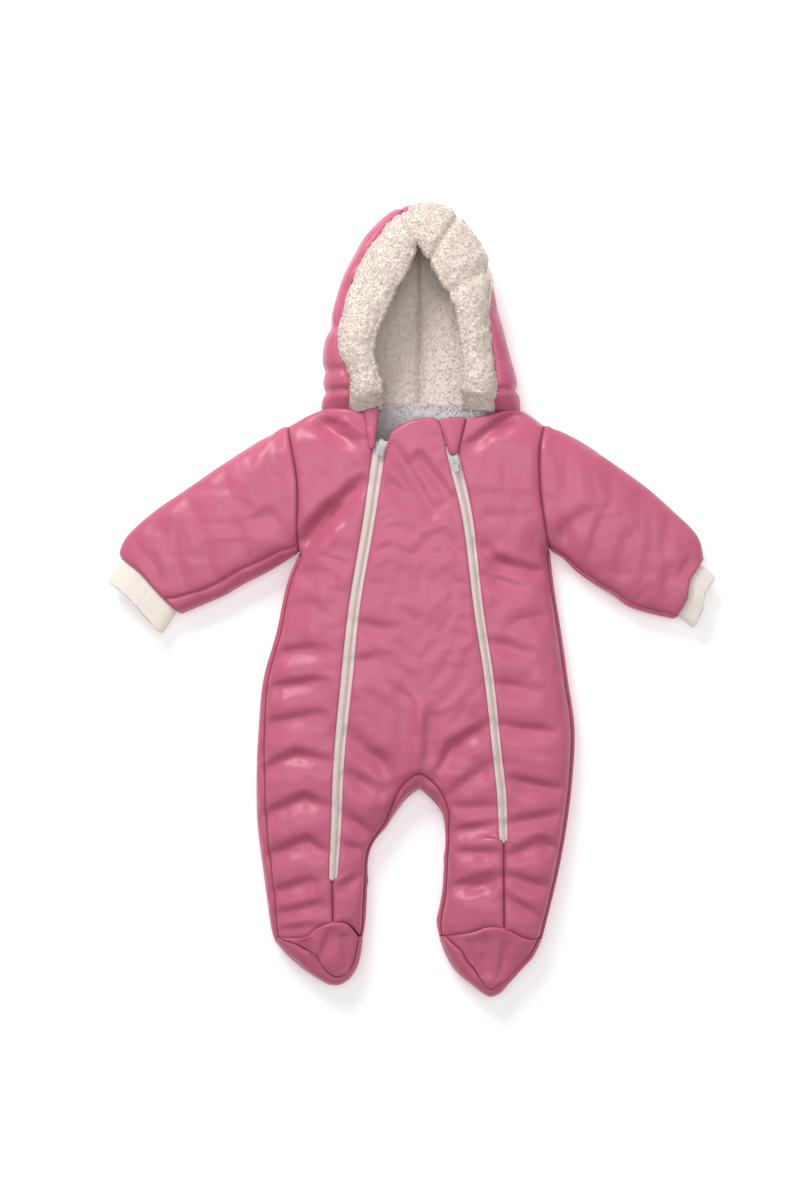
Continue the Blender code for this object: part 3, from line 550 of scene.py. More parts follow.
class Skin:
    """Grids of cloth that meet edge to edge, sewn down along their seams and free between them."""

    def __init__(self):
        self.places, self.outs, self.held, self.pieces, self.faces = [], [], [], [], []
        self.count = 0

    def add(self, piece, places, outs, held):
        """held is the depth that each point is sewn down to, or nan where it is free."""
        rows, columns = places.shape[:2]
        quads = grid_faces(rows, columns)
        turned = facing_out(places.reshape(-1, 3), quads, outs.reshape(-1, 3))
        self.faces.append(turned + self.count)
        self.pieces += [piece] * len(quads)
        self.places.append(places.reshape(-1, 3))
        self.outs.append(outs.reshape(-1, 3))
        self.held.append(held.reshape(-1))
        self.count += rows * columns

    def add_cloth(self, piece, grid, face, **sewn):
        places, outs = cloth(grid, face)
        self.add(piece, places, outs, edges_held(grid.shape[:2], **sewn))

    def merged(self):
        """The points once each, where the grids of one piece share them, with the faces renumbered."""
        places, outs, held = (np.concatenate(x) for x in (self.places, self.outs, self.held))
        faces = np.concatenate(self.faces)
        pieces = np.array(self.pieces)
        _, numbers = np.unique(pieces, return_inverse=True)
        owner = np.zeros(len(places), int)
        owner[faces.reshape(-1)] = np.repeat(numbers, 4)
        key = np.column_stack([np.round(places / WELD + WELD_OFFSET).astype(int), owner])
        _, first, same = np.unique(key, axis=0, return_index=True, return_inverse=True)
        same = same.reshape(-1)
        depth = np.full(len(first), -1.0)
        np.maximum.at(depth, same, np.nan_to_num(held, nan=-1.0))
        faces = same[faces]
        corners = np.sort(faces, axis=1)
        whole = (np.diff(corners, axis=1) > 0).sum(axis=1) >= 2
        return places[first], outs[first], depth, faces[whole], pieces[whole]


def border_held(held, column, depth):
    """Sews down the edge beside a zip, and the stitched border next to it."""
    held[:, column] = np.fmax(held[:, column], depth)
    held[:, column + (1 if column == 0 else -1)] = 0


def edges_held(shape, top=None, bottom=None, start=None, end=None):
    """How deep each point of a grid is sewn down: nan inside, and along an edge that is only joined."""
    held = np.full(shape, np.nan)
    for rows, depth in ((0, top), (-1, bottom)):
        if depth is not None:
            held[rows] = depth
    for columns, depth in ((0, start), (-1, end)):
        if depth is not None:
            held[:, columns] = np.fmax(held[:, columns], depth)
    return held


def zip_side(side, towards, clear=0.0):
    """A line beside a zip: towards the suit's side (-1) or its middle (1), so far clear of what shows."""
    way = towards if side == "right" else -towards
    rows = ZIPS[side]
    line = smooth_line(np.stack([rows["x"], rows["y"], rows["width"]], axis=1))
    width = np.maximum(line[:, 2], 0)
    half = width / 2 + clear * np.clip(width / 4, 0.1, 1)
    return np.column_stack([line[:, 0] + way * half, line[:, 1]])


def cut_at(line, point):
    """The two parts of a line on either side of its place nearest a point."""
    nearest = np.argmin(np.linalg.norm(line - point, axis=1))
    return np.concatenate([line[:nearest], [point]]), np.concatenate([[point], line[nearest + 1 :]])


def armhole_points(side):
    line = LINES[side]["armhole"]
    return along(line, roll_shares(length_of(line), SKIN_STEP, start=TOP_ROLL, end=TOP_ROLL))


def ankle_points(side):
    """The ankle seam's points from the suit's side to the zip's seam, and from there to the inside of the leg."""
    line = smooth_line(xy(ANKLE[side]))
    outer, inner = cut_at(line, line[np.argmin(abs(line[:, 0] - ZIPS[side]["x"][-1]))])
    return stepped(outer), stepped(inner)


def add_front_side(skin, side):
    line = LINES[side]
    upper = joined(stepped(line["shoulder"]), armhole_points(side))
    outline = stepped(line["side"])
    wrap = np.interp(outline[:, 1], SIDE_WRAP[side]["y"], SIDE_WRAP[side]["wrap"])
    wrap[0] = 0
    seam = moved_in(outline, wrap)
    outer = joined(upper, seam)
    neck = smooth_line(xy(NECKLINE[side]))
    inner = along(np.concatenate([neck[-1:], zip_side(side, -1, ZIP_CLEAR)]), progress(outer))
    ankle, _ = ankle_points(side)
    ankle = ankle + (seam[-1] - outline[-1]) * (1 - progress(ankle))[:, None]
    ankle[-1] = inner[-1]
    grid = patch(along(neck, progress(ankle)), ankle, outer, inner)
    places, outs = cloth(grid, "front")
    held = edges_held(grid.shape[:2], top=SEAM_SINK, bottom=SEAM_SINK, start=SEAM_SINK)
    border_held(held, -1, ZIP_SINK)
    held[grid[:, -1, 1] < ZIP_STOP_Y[side] - 3, -1] = SEAM_SINK
    skin.add(f"front_side_{side}", places, outs, held)
    strip = outline[:, None] + np.linspace(0, 1, 4)[None, :, None] * (seam - outline)[:, None]
    add_strip(skin, strip, wrap)


def add_strip(skin, strip, wrap):
    """The edge of the back that comes round onto the front; where it is narrow it is sewn flat."""
    places, outs = cloth(strip, "front")
    held = edges_held(strip.shape[:2], bottom=SEAM_SINK, end=SEAM_SINK)
    held[np.asarray(wrap) < NARROW, :-1] = 0
    skin.add("back", places, outs, held)


def middle_edge(side, top):
    """The middle of the front or back down to the crotch, and then the inside of a leg down to the ankle."""
    leg = LINES[side]["inside_leg"]
    centre = stepped(np.array([top, leg[0]]))
    return joined(centre, stepped(leg)), len(centre) - 1


def add_front_centre(skin):
    bib = smooth_line(xy(BIB_TOP))
    middle = along(bib, [BIB_SPLIT])[0]
    first, last = cut_at(bib, middle)
    for side, top in (("right", first), ("left", last[::-1])):
        edge, crotch = middle_edge(side, middle)
        wraps = INSIDE_WRAP[side]
        order = np.argsort(wraps["y"])
        wrap = np.interp(edge[:, 1], wraps["y"][order], wraps["wrap"][order])
        leg = edge[crotch:]
        seam = moved_in(leg, wrap[crotch:])
        apex = np.array([leg[0][0], leg[0][1] + wrap[crotch]])
        lift = np.exp(-np.linalg.norm(leg - leg[0], axis=1) / CROTCH_BLEND)[:, None]
        seam = seam * (1 - lift) + (leg + apex - leg[0]) * lift
        inner = joined(even(np.array([middle, apex]), crotch), seam)
        outer = along(np.concatenate([top[:1], zip_side(side, 1, ZIP_CLEAR)]), progress(inner))
        _, ankle = ankle_points(side)
        ankle = ankle + (seam[-1] - leg[-1]) * progress(ankle)[:, None]
        ankle[0] = outer[-1]
        grid = patch(along(top, progress(ankle)), ankle, outer, inner)
        places, outs = cloth(grid, "front")
        held = edges_held(grid.shape[:2], top=BIB_SINK, bottom=SEAM_SINK)
        border_held(held, 0, ZIP_SINK)
        held[crotch:, -1] = SEAM_SINK
        held[grid[:, 0, 1] < ZIP_STOP_Y[side] - 3, 0] = SEAM_SINK
        skin.add("front_centre", places, outs, held)
        strip = leg[:, None] + np.linspace(0, 1, 5)[None, :, None] * (seam - leg)[:, None]
        add_strip(skin, strip, wrap[crotch:])


def add_back(skin):
    middle = np.array([CENTRE_X, BACK_NECK_Y])
    for side in ("right", "left"):
        line = LINES[side]
        outer = joined(stepped(line["shoulder"]), armhole_points(side), stepped(line["side"]))
        edge, _ = middle_edge(side, middle)
        inner = even(edge, len(outer) - 1)
        foot = np.array([outer[-1], inner[-1]])
        across = roll_shares(110, SKIN_STEP * 1.6, start=BOTTOM_ROLL, end=BOTTOM_ROLL, turns=(0, 30, 60, 90))
        corner = line["shoulder"][0]
        grid = patch(along(np.array([corner, middle]), across), along(foot, across), outer, inner)
        places, outs = cloth(grid, "back")
        held = edges_held(grid.shape[:2], top=SEAM_SINK, bottom=SEAM_SINK)
        shoulder = len(stepped(line["shoulder"])) + len(armhole_points(side)) - 1
        held[:shoulder, 0] = SEAM_SINK
        skin.add("back", places, outs, held)


def pinned(line, first, last):
    """A line whose ends are moved onto two points, and the rest of it with them."""
    share = progress(line)[:, None]
    return line + (first - line[0]) * (1 - share) + (last - line[-1]) * share


def before_end(line, reach):
    """The place so far along a line before its end."""
    return along(line, [1 - reach / length_of(line)])[0]


def add_sleeve(skin, side):
    line = LINES[side]
    armhole = armhole_points(side)
    top, under = stepped(line["sleeve_top"]), line["sleeve_under"]
    under = even(under, len(top) - 1)
    wrist = line["wrist"]
    wraps = UNDER_WRAP[side]
    wrap = np.interp(progress(under), wraps["share"], wraps["wrap"])
    seam = pinned(moved_in(under, wrap), before_end(armhole, wrap[0]), before_end(wrist, wrap[-1]))
    start, low_start = cut_at(armhole, seam[0])
    end, low_end = cut_at(wrist, seam[-1])
    grid = patch(top, seam, start, along(end, progress(start)))
    name = f"sleeve_{side}"
    skin.add_cloth(name, grid, "front", bottom=SEAM_SINK, start=SEAM_SINK, end=HEM_SINK)
    steps = np.linspace(0, 1, 6)
    grid = patch(seam, under, along(low_start, steps), along(low_end, steps))
    skin.add_cloth(name, grid, "front", top=SEAM_SINK, start=SEAM_SINK, end=HEM_SINK)
    grid = patch(top, under, armhole, along(wrist, progress(armhole)))
    skin.add_cloth(name, grid, "back", start=SEAM_SINK, end=HEM_SINK)


def foot_lines(side):
    """The foot's outline from the outer ankle round the toe to the inner one, and the sole's seam inside it."""
    line = LINES[side]
    outline = stepped(joined(line["foot_outer"], line["toe"], line["foot_inner"][::-1]), 2.6)
    wraps = SOLE_WRAP[side]
    wrap = np.interp(progress(outline), wraps["share"], wraps["wrap"])
    seam = moved_in(outline, wrap)
    for _ in range(3):
        seam[1:-1] = (seam[:-2] + 2 * seam[1:-1] + seam[2:]) / 4
    return outline, seam


def add_foot(skin, side):
    outline, seam = foot_lines(side)
    ankle = smooth_line(xy(ANKLE[side]))
    line = LINES[side]
    thirds = [np.argmin(np.linalg.norm(outline - line["toe"][k], axis=1)) for k in (0, -1)]
    top = pinned(ankle, seam[0], seam[-1])
    outer, toe, inner = seam[: thirds[0] + 1], seam[thirds[0] : thirds[1] + 1], seam[thirds[1] :][::-1]
    rows = max(len(outer), len(inner))
    across = np.linspace(0, 1, 26)
    grid = patch(along(top, across), along(toe, across), even(outer, rows), even(inner, rows))
    skin.add_cloth(f"toe_cap_{side}", grid, "front", **dict.fromkeys(("top", "bottom", "start", "end"), SEAM_SINK))
    strip = outline[:, None] + np.linspace(0, 1, 6)[None, :, None] * (seam - outline)[:, None]
    skin.add_cloth(f"sole_{side}", strip, "front", top=0.5, bottom=0.5, end=SEAM_SINK)
    heel = along(np.array([outline[0], outline[-1]]), progress(outline))
    shares = roll_shares(60, SKIN_STEP, start=BOTTOM_ROLL)
    grid = outline[:, None] + shares[None, :, None] * (heel - outline)[:, None]
    skin.add_cloth(f"sole_{side}", grid, "back", top=0.5, bottom=0.5, end=SEAM_SINK)


def looseness(places):
    """How much spare cloth there is: most in the legs, some at the sides, least down the chest and on the hood."""
    x, y = places[:, 0], places[:, 1]
    away = abs(x - CENTRE_X)
    legs = smoothstep((LEG_TOP - y) / LEG_BLEND)
    middle = np.exp(-((away / CALM_WIDTH) ** 2)) * smoothstep((y - CALM_BOTTOM) / 80)
    sides = SIDE_LOOSENESS * smoothstep((away - 30) / 25) * smoothstep((NECK_Y - y) / 20)
    return np.maximum(legs * (1 - middle), sides)


def whole_faces(faces):
    """Each face's corners once each, without the faces that the welding has closed up."""
    corners = (list(dict.fromkeys(face)) for face in np.asarray(faces).tolist())
    return [face for face in corners if len(face) > 2]


def puff(places, outs, depth, faces):
    """Presses the cloth out between its seams, as the wadding does, and lets its spare length wrinkle."""
    start = places - outs * np.maximum(depth, 0)[:, None]
    mesh = bpy.data.meshes.new("puffed")
    mesh.from_pydata(start * MM, [], whole_faces(faces))
    obj = bpy.data.objects.new("puffed", mesh)
    bpy.context.scene.collection.objects.link(obj)
    group = obj.vertex_groups.new(name="sewn")
    group.add(np.flatnonzero(depth >= 0).tolist(), 1.0, "REPLACE")
    group.add(np.flatnonzero(depth < 0).tolist(), settings().body_hold, "REPLACE")
    cloth_modifier = obj.modifiers.new("wadding", "CLOTH")
    wadding = cloth_modifier.settings
    for key, value in WADDING.items():
        setattr(wadding, key, value)
    wadding.bending_stiffness = settings().stiffness
    wadding.vertex_group_mass = group.name
    wadding.pin_stiffness = 1.0
    spread = obj.vertex_groups.new(name="loose")
    loose = looseness(places)
    for level in range(11):
        here = np.flatnonzero(np.round(loose * 10) == level)
        if len(here):
            spread.add(here.tolist(), level / 10, "REPLACE")
    wadding.vertex_group_shrink = spread.name
    wadding.shrink_min, wadding.shrink_max = -settings().spare, -settings().leg_spare
    wadding.use_pressure = True
    wadding.uniform_pressure_force = settings().pressure
    wadding.effector_weights.gravity = 0
    cloth_modifier.collision_settings.use_collision = False
    scene = bpy.context.scene
    cloth_modifier.point_cache.frame_start, cloth_modifier.point_cache.frame_end = 1, PUFF_FRAMES
    for number in range(1, PUFF_FRAMES + 1):
        scene.frame_set(number)
    evaluated = obj.evaluated_get(bpy.context.evaluated_depsgraph_get())
    puffed = np.empty(len(start) * 3)
    evaluated.data.vertices.foreach_get("co", puffed)
    bpy.data.objects.remove(obj)
    bpy.data.meshes.remove(mesh)
    scene.frame_set(1)
    moved = puffed.reshape(-1, 3) / MM - start
    far = np.linalg.norm(moved, axis=1)
    cap = settings().puff_cap / MM
    return start + moved * np.minimum(1, cap / np.maximum(far, 1e-9))[:, None]


def from_mesh(name, material, places, faces, values=None, uvs=None):
    """A new object from places in millimetres. values are numbers kept on its points, by name."""
    mesh = bpy.data.meshes.new(name)
    mesh.from_pydata((np.asarray(places) + FRAME_SHIFT) * MM, [], whole_faces(faces))
    for key, numbers in (values or {}).items():
        mesh.attributes.new(key, "FLOAT", "POINT").data.foreach_set("value", np.asarray(numbers, np.float32))
    if uvs is not None:
        loops = np.empty(len(mesh.loops), np.int32)
        mesh.loops.foreach_get("vertex_index", loops)
        mesh.uv_layers.new(name="UVMap").data.foreach_set("uv", np.asarray(uvs, np.float32)[loops].reshape(-1))
    mesh.materials.append(material)
    obj = bpy.data.objects.new(name, mesh)
    bpy.data.collections["Snowsuit"].objects.link(obj)
    return obj


def from_grid(name, material, grid, outs, places=None, closed=False, **more):
    """A new object over a grid, facing the way out. places are its points where they aren't the grid's own."""
    rows, columns = grid.shape[:2]
    flat = grid.reshape(-1, 3)
    faces = facing_out(flat, grid_faces(rows, columns, closed), outs.reshape(-1, 3))
    return from_mesh(name, material, flat if places is None else places, faces, **more)


def bake(obj):
    """Applies an object's modifiers to its mesh."""
    bpy.context.view_layer.update()
    graph = bpy.context.evaluated_depsgraph_get()
    mesh = bpy.data.meshes.new_from_object(obj.evaluated_get(graph), preserve_all_data_layers=True, depsgraph=graph)
    obj.modifiers.clear()
    obj.data = mesh
    mesh.shade_smooth()


def finish_cloth(obj, wall, levels=1):
    if levels:
        finer = obj.modifiers.new("finer", "SUBSURF")
        finer.levels = finer.render_levels = levels
        finer.boundary_smooth = "PRESERVE_CORNERS"
    if wall:
        thick = obj.modifiers.new("thick", "SOLIDIFY")
        thick.thickness = wall * MM
        thick.offset = -1
        thick.use_even_offset = False
    bake(obj)
    mesh = bmesh.new()
    mesh.from_mesh(obj.data)
    floor = FLOOR_CLEAR * MM
    for vert in mesh.verts:
        vert.co.z = max(vert.co.z, floor)
    mesh.to_mesh(obj.data)
    mesh.free()


def grid_faces(rows, columns, closed=False):
    index = np.arange(rows * columns).reshape(rows, columns)
    if closed:
        index = np.concatenate([index, index[:, :1]], axis=1)
    return np.stack([index[:-1, :-1], index[:-1, 1:], index[1:, 1:], index[1:, :-1]], axis=2).reshape(-1, 4)


def facing_out(places, faces, outs):
    """A grid's faces, turned all together where need be so that they face out."""
    corners = places[faces]
    normal = np.cross(corners[:, 2] - corners[:, 0], corners[:, 3] - corners[:, 1])
    out = outs[faces].sum(axis=1)
    return faces[:, ::-1] if (normal * out).sum() < 0 else faces


def flat_area(obj):
    """The area of all the faces of an object, in square metres, so that a cloth with two sides counts twice."""
    mesh = bmesh.new()
    mesh.from_mesh(obj.data)
    area = sum(face.calc_area() for face in mesh.faces)
    mesh.free()
    return area


def sewn_on(obj, layers=2):
    """Puts a finished piece of cloth on the garment, in place of the CAD node that it is named for."""
    node = obj.name.removesuffix("_cloth")
    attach(obj, GARMENT)
    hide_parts(node)
    width, length = CUTS[node]
    area = min(max(flat_area(obj) / layers, LEAST_SHARE * width * length), width * length)


def hood_form(per_row=12):
    """The hood as a grid from one neck corner round its peak to the other, each row running from the middle of
    its back, out over its widest line and up to the brim. Gives the places and the ways out."""
    keys = smooth_line(np.stack(list(HOOD.values()), axis=1), per_row)
    out, edge, brim = keys[:, 0:3], keys[:, 3:6], keys[:, 6:9]
    spine = np.column_stack([np.full(len(keys), CENTRE_X), keys[:, 9], np.zeros(len(keys))])
    floor = out * (1, 1, 0)
    way = spine - floor
    way /= np.linalg.norm(way, axis=1)[:, None]
    heel = floor + way * HOOD_BACK_ROLL
    flat = spine + (heel - spine) * np.linspace(0, 1, HOOD_BACK_STEPS)[:, None, None]
    up = quarter(heel, floor, out, HOOD_SIDE_STEPS)
    over = quarter(out, out * (1, 1, 0) + edge * (0, 0, 1), edge, HOOD_OVER_STEPS)
    turned = edge + (brim - edge) * np.linspace(0, 1, FACING_STEPS)[:, None, None]
    turned[..., 2] += BRIM_CROWN * np.sin(np.linspace(0, math.pi, FACING_STEPS))[:, None]
    grid = np.concatenate([flat, up[1:], over[1:], turned[1:]]).transpose(1, 0, 2)
    normal = np.cross(np.gradient(grid, axis=0), np.gradient(grid, axis=1))
    normal[[0, -1], :, 1] = 0
    normal /= np.maximum(np.linalg.norm(normal, axis=2), 1e-9)[..., None]
    if normal[len(keys) // 4, 0, 2] > 0:
        normal = -normal
    # The ends go down under the body's neck edge.
    from_end = np.minimum(np.arange(len(grid)), np.arange(len(grid))[::-1]) / per_row
    tuck = np.exp(-((from_end / TUCK_SPAN) ** 2))[:, None]
    grid[..., 2] *= 1 - TUCK_DROP * tuck
    grid[..., 1] -= TUCK_REACH * tuck
    return grid, normal


def add_hood_shells(skin):
    grid, out = hood_form(HOOD_ROWS)
    shell_end = grid.shape[1] - FACING_STEPS
    at = np.linspace(0, 1, len(grid))
    fold = sum(d * np.exp(-(((at - a) / w) ** 2)) for a, w, d in zip(*HOOD_FOLDS.values()))
    across = np.linspace(0, 1, shell_end + 1)
    rise = smoothstep((across - 0.35) / 0.3)
    places = grid[:, : shell_end + 1] - out[:, : shell_end + 1] * (fold[:, None] * rise)[..., None]
    peak = HOOD_PEAK * HOOD_ROWS
    for side, rows in (("right", slice(0, peak + 1)), ("left", slice(peak, None))):
        part = places[rows]
        held = edges_held(part.shape[:2], top=SEAM_SINK, bottom=SEAM_SINK, start=0, end=SEAM_SINK)
        held[:, :HOOD_BACK_STEPS] = 0
        skin.add(f"hood_shell_{side}", part, out[rows, : shell_end + 1], held)


def make_shell():
    skin = Skin()
    add_front_centre(skin)
    add_back(skin)
    for side in ("right", "left"):
        add_front_side(skin, side)
        add_sleeve(skin, side)
        add_foot(skin, side)
    add_hood_shells(skin)
    places, outs, depth, faces, pieces = skin.merged()
    settled = places - outs * np.maximum(depth, 0)[:, None]
    settled = puff(places, outs, depth, faces)
    settled[:, 2] = np.maximum(settled[:, 2], LOWEST)
    nylon = look("nylon")
    for piece in np.unique(pieces):
        own = faces[pieces == piece]
        used, renumbered = np.unique(own, return_inverse=True)
        # Nearness to the seams, kept as the seam attribute, from which the nylon paints shade along its seams.
        near = from_seam(places[used], depth[used] >= SEAM_SINK * 0.9)
        obj = from_mesh(f"{piece}_cloth", nylon, settled[used], renumbered.reshape(-1, 4), {"seam": near})
        finish_cloth(obj, SHELL_WALL)
        sewn_on(obj)


def from_seam(places, sewn):
    """1 on a seam, down to 0 a little way from it: the share of painted shade that the nylon takes along its seams.
    """
    if not sewn.any():
        return np.zeros(len(places))
    seams = places[sewn]
    gap = np.full(len(places), np.inf)
    for start in range(0, len(places), 2000):
        part = places[start : start + 2000]
        gap[start : start + 2000] = np.sqrt(
            np.maximum(((part[:, None, :] - seams[None]) ** 2).sum(axis=2), 0)
        ).min(axis=1)
    return np.exp(-gap / SEAM_SHADE)


def pile(places, outs, lump, seed):
    """Teddy cloth: clumps of pile that stand up unevenly."""
    flat = places.reshape(-1, 3)
    heights = np.empty(len(flat))
    for k, (x, y, z) in enumerate(flat):
        at = Vector((x, y, z)) + Vector((seed, 0, 0))
        heights[k] = noise.noise(at / 26) * 0.9 + noise.noise(at / 9) * 0.9 + abs(noise.noise(at / 4.2)) * 1.3
    return flat + outs.reshape(-1, 3) * (heights * lump)[:, None]


def teddy_piece(name, grid, out, slot, density, lump=1.0, seed=0, shown=None):
    """A piece of teddy cloth over a grid, covered with curls of pile where it shows."""
    material = look(slot)
    shown = np.ones(grid.shape[:2]) if shown is None else shown
    places = pile(grid, out, lump, seed)
    obj = from_grid(f"{name}_cloth", material, grid, out, places)
    curls = from_grid("curls", material, grid, out, places, values={"shown": shown.reshape(-1)})
    finish_cloth(obj, PILE_WALL, levels=0)
    grow(curls, curl_tree(), Density=density, Seed=seed, Curl_Radius=settings().curl_radius, Wool=material)
    join(obj, curls)
    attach(obj, GARMENT)
    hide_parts(name)


def join(obj, other):
    """Adds another object's mesh to an object's own, and removes the other."""
    mesh = bmesh.new()
    mesh.from_mesh(obj.data)
    mesh.from_mesh(other.data)
    mesh.to_mesh(obj.data)
    mesh.free()
    obj.data.shade_smooth()
    bpy.data.objects.remove(other)


def new_tree(name, **sockets):
    """A new geometry node tree that takes a mesh and these other inputs."""
    tree = bpy.data.node_groups.new(name, "GeometryNodeTree")
    tree.interface.new_socket("Geometry", in_out="OUTPUT", socket_type="NodeSocketGeometry")
    for key, kind in {"Geometry": "Geometry", **sockets}.items():
        tree.interface.new_socket(key.replace("_", " "), in_out="INPUT", socket_type=f"NodeSocket{kind}")
    return tree


def grow(obj, tree, **values):
    """Runs a node tree on an object, with these inputs, and keeps what it makes."""
    modifier = obj.modifiers.new("grown", "NODES")
    modifier.node_group = tree
    keys = {item.name: item.identifier for item in tree.interface.items_tree}
    for key, value in values.items():
        modifier[keys[key.replace("_", " ")]] = value
    bake(obj)


def curl_tree():
    """Scatters curls of pile over a mesh: arcs of thin strand, each turned and sized at random."""
    name = "Teddy Curls"
    if name in bpy.data.node_groups:
        return bpy.data.node_groups[name]
    tree = new_tree(name, Density="Float", Seed="Int", Curl_Radius="Float", Wool="Material")
    g = Nodes(tree)
    given = g.add("NodeGroupInput")
    shown = g.add("GeometryNodeInputNamedAttribute", {"data_type": "FLOAT"}, Name="shown")
    density = g.add("ShaderNodeMath", {"operation": "MULTIPLY"})
    tree.links.new(given["Density"], density.node.inputs[0])
    tree.links.new(shown["Attribute"], density.node.inputs[1])
    drop = g.add(
        "GeometryNodeDistributePointsOnFaces", {"distribute_method": "RANDOM"},
        Mesh=given["Geometry"], Density=density["Value"], Seed=given["Seed"],
    )
    ring = g.add("GeometryNodeCurveArc", {"mode": "RADIUS"}, Resolution=4, Radius=given["Curl Radius"])
    ring.node.inputs["Sweep Angle"].default_value = CURL_SWEEP
    upright = g.add("GeometryNodeTransform", Geometry=ring["Curve"])
    upright.node.inputs["Rotation"].default_value = (CURL_TILT, 0, 0)
    strand = g.add("GeometryNodeCurvePrimitiveCircle", {"mode": "RADIUS"}, Resolution=3, Radius=CURL_THICKNESS * MM)
    curl = g.add("GeometryNodeCurveToMesh", Curve=upright["Geometry"])
    tree.links.new(strand["Curve"], curl.node.inputs["Profile Curve"])
    turn = g.add("FunctionNodeRandomValue", {"data_type": "FLOAT"}, Seed=given["Seed"])
    turn.node.inputs[3].default_value = 2 * math.pi
    spin = g.add("FunctionNodeRotateRotation", {"rotation_space": "LOCAL"})
    tree.links.new(drop["Rotation"], spin.node.inputs[0])
    euler = g.add("ShaderNodeCombineXYZ")
    tree.links.new(turn.node.outputs[1], euler.node.inputs["Z"])
    made = g.add("FunctionNodeEulerToRotation")
    tree.links.new(euler.node.outputs[0], made.node.inputs[0])
    tree.links.new(made.node.outputs[0], spin.node.inputs[1])
    size = g.add("FunctionNodeRandomValue", {"data_type": "FLOAT"})
    size.node.inputs[2].default_value, size.node.inputs[3].default_value = CURL_SIZES
    placed = g.add("GeometryNodeInstanceOnPoints", Points=drop["Points"], Instance=curl["Mesh"])
    tree.links.new(spin.node.outputs[0], placed.node.inputs["Rotation"])
    tree.links.new(size.node.outputs[1], placed.node.inputs["Scale"])
    real = g.add("GeometryNodeRealizeInstances", Geometry=placed["Instances"])
    smooth = g.add("GeometryNodeSetShadeSmooth", Geometry=real["Geometry"])
    coloured = g.add("GeometryNodeSetMaterial", Geometry=smooth["Geometry"], Material=given["Wool"])
    g.add("NodeGroupOutput", Geometry=coloured["Geometry"])
    return tree


class Out:
    """A node with its outputs by name."""

    def __init__(self, node):
        self.node = node

    def __getitem__(self, name):
        return self.node.outputs[name]


class Nodes:
    """Adds nodes to a tree: settings first, then inputs, which are sockets or numbers."""

    def __init__(self, tree):
        self.tree = tree

    def add(self, kind, options=None, **inputs):
        node = self.tree.nodes.new(kind)
        for key, value in (options or {}).items():
            setattr(node, key, value)
        for key, value in inputs.items():
            socket = node.inputs[key.replace("_", " ")]
            if isinstance(value, Value):
                value = value.socket
            if isinstance(value, bpy.types.NodeSocket):
                self.tree.links.new(value, socket)
            else:
                socket.default_value = value
        return Out(node)


class Value:
    """A shader socket that takes part in sums."""

    def __init__(self, nodes, socket):
        self.nodes, self.socket = nodes, socket

    def maths(self, operation, *others, clamp=False):
        node = self.nodes.tree.nodes.new("ShaderNodeMath")
        node.operation, node.use_clamp = operation, clamp
        for place, item in zip(node.inputs, (self, *others)):
            if isinstance(item, Value):
                self.nodes.tree.links.new(item.socket, place)
            else:
                place.default_value = item
        return Value(self.nodes, node.outputs[0])

    def __add__(self, other):
        return self.maths("ADD", other)

    __radd__ = __add__

    def __mul__(self, other):
        return self.maths("MULTIPLY", other)

    __rmul__ = __mul__

    def __sub__(self, other):
        return self.maths("SUBTRACT", other)

    def __rsub__(self, other):
        return (self * -1) + other

    def sine(self):
        return self.maths("SINE")


def set_inputs(node, **values):
    """Sets a node's inputs that are plain numbers or colours."""
    for key, value in values.items():
        node.inputs[key.replace("_", " ")].default_value = value


def look(name):
    return bpy.data.materials[LOOK.format(name)]


def shader(name):
    """A new material with its tree's helper, its shader and a noise function over the cloth."""
    material = bpy.data.materials.new(LOOK.format(name))
    material.use_nodes = True
    nodes = Nodes(material.node_tree)
    surface = material.node_tree.nodes["Principled BSDF"]
    where = nodes.add("ShaderNodeTexCoord")["Object"]

    def speckle(size, detail=2.0, rough=0.5, stretch=None):
        vector = where
        if stretch:
            vector = nodes.add("ShaderNodeMapping", Vector=where, Scale=stretch)["Vector"]
        node = nodes.add("ShaderNodeTexNoise", Vector=vector, Scale=1 / (size * MM), Detail=detail, Roughness=rough)
        return Value(nodes, node["Fac"])

    return material, nodes, surface, speckle


def mixed(nodes, share, first, second):
    node = nodes.add("ShaderNodeMix", {"data_type": "RGBA"})
    nodes.tree.links.new(share.socket, node.node.inputs["Factor"])
    for place, colour in ((6, first), (7, second)):
        if isinstance(colour, bpy.types.NodeSocket):
            nodes.tree.links.new(colour, node.node.inputs[place])
        else:
            node.node.inputs[place].default_value = (*colour, 1)
    return node.node.outputs[2]


def bumped(nodes, surface, height, distance, strength=1.0):
    bump = nodes.add("ShaderNodeBump", Strength=strength, Distance=distance * MM, Height=height)
    nodes.tree.links.new(bump["Normal"], surface.inputs["Normal"])


def nylon_material():
    material, nodes, surface, speckle = shader("nylon")
    options = settings()
    broad = (speckle(46, 2) - 0.5).maths("MULTIPLY_ADD", 1.6, 0.5, clamp=True)
    colour = mixed(nodes, broad, options.nylon_shade, options.nylon_colour)
    # Painted shade: near the seams the colour goes darker, as shade falls in the sunk seam lines.
    seam = nodes.add("ShaderNodeAttribute", {"attribute_name": "seam"})
    near = Value(nodes, seam["Fac"])
    colour = mixed(nodes, (near * near).maths("MULTIPLY", 0.85, clamp=True), colour, options.seam_colour)
    nodes.tree.links.new(colour, surface.inputs["Base Color"])
    wander = speckle(30, 1)
    nodes.tree.links.new((wander * 0.2 + 0.24).socket, surface.inputs["Roughness"])
    set_inputs(surface, Specular_IOR_Level=0.3, Sheen_Weight=0.1, Sheen_Roughness=0.4)
    across = speckle(19, 0.7, 0.4, stretch=(0.4, 1, 1))
    along_arm = speckle(17, 0.7, 0.4, stretch=(1, 0.4, 1))
    patchy = (speckle(60, 1) - 0.42).maths("MULTIPLY", 5, clamp=True)
    bumped(nodes, surface, across * patchy + along_arm * (1 - patchy) + speckle(34, 1) * 0.8, options.crinkle)
    return material


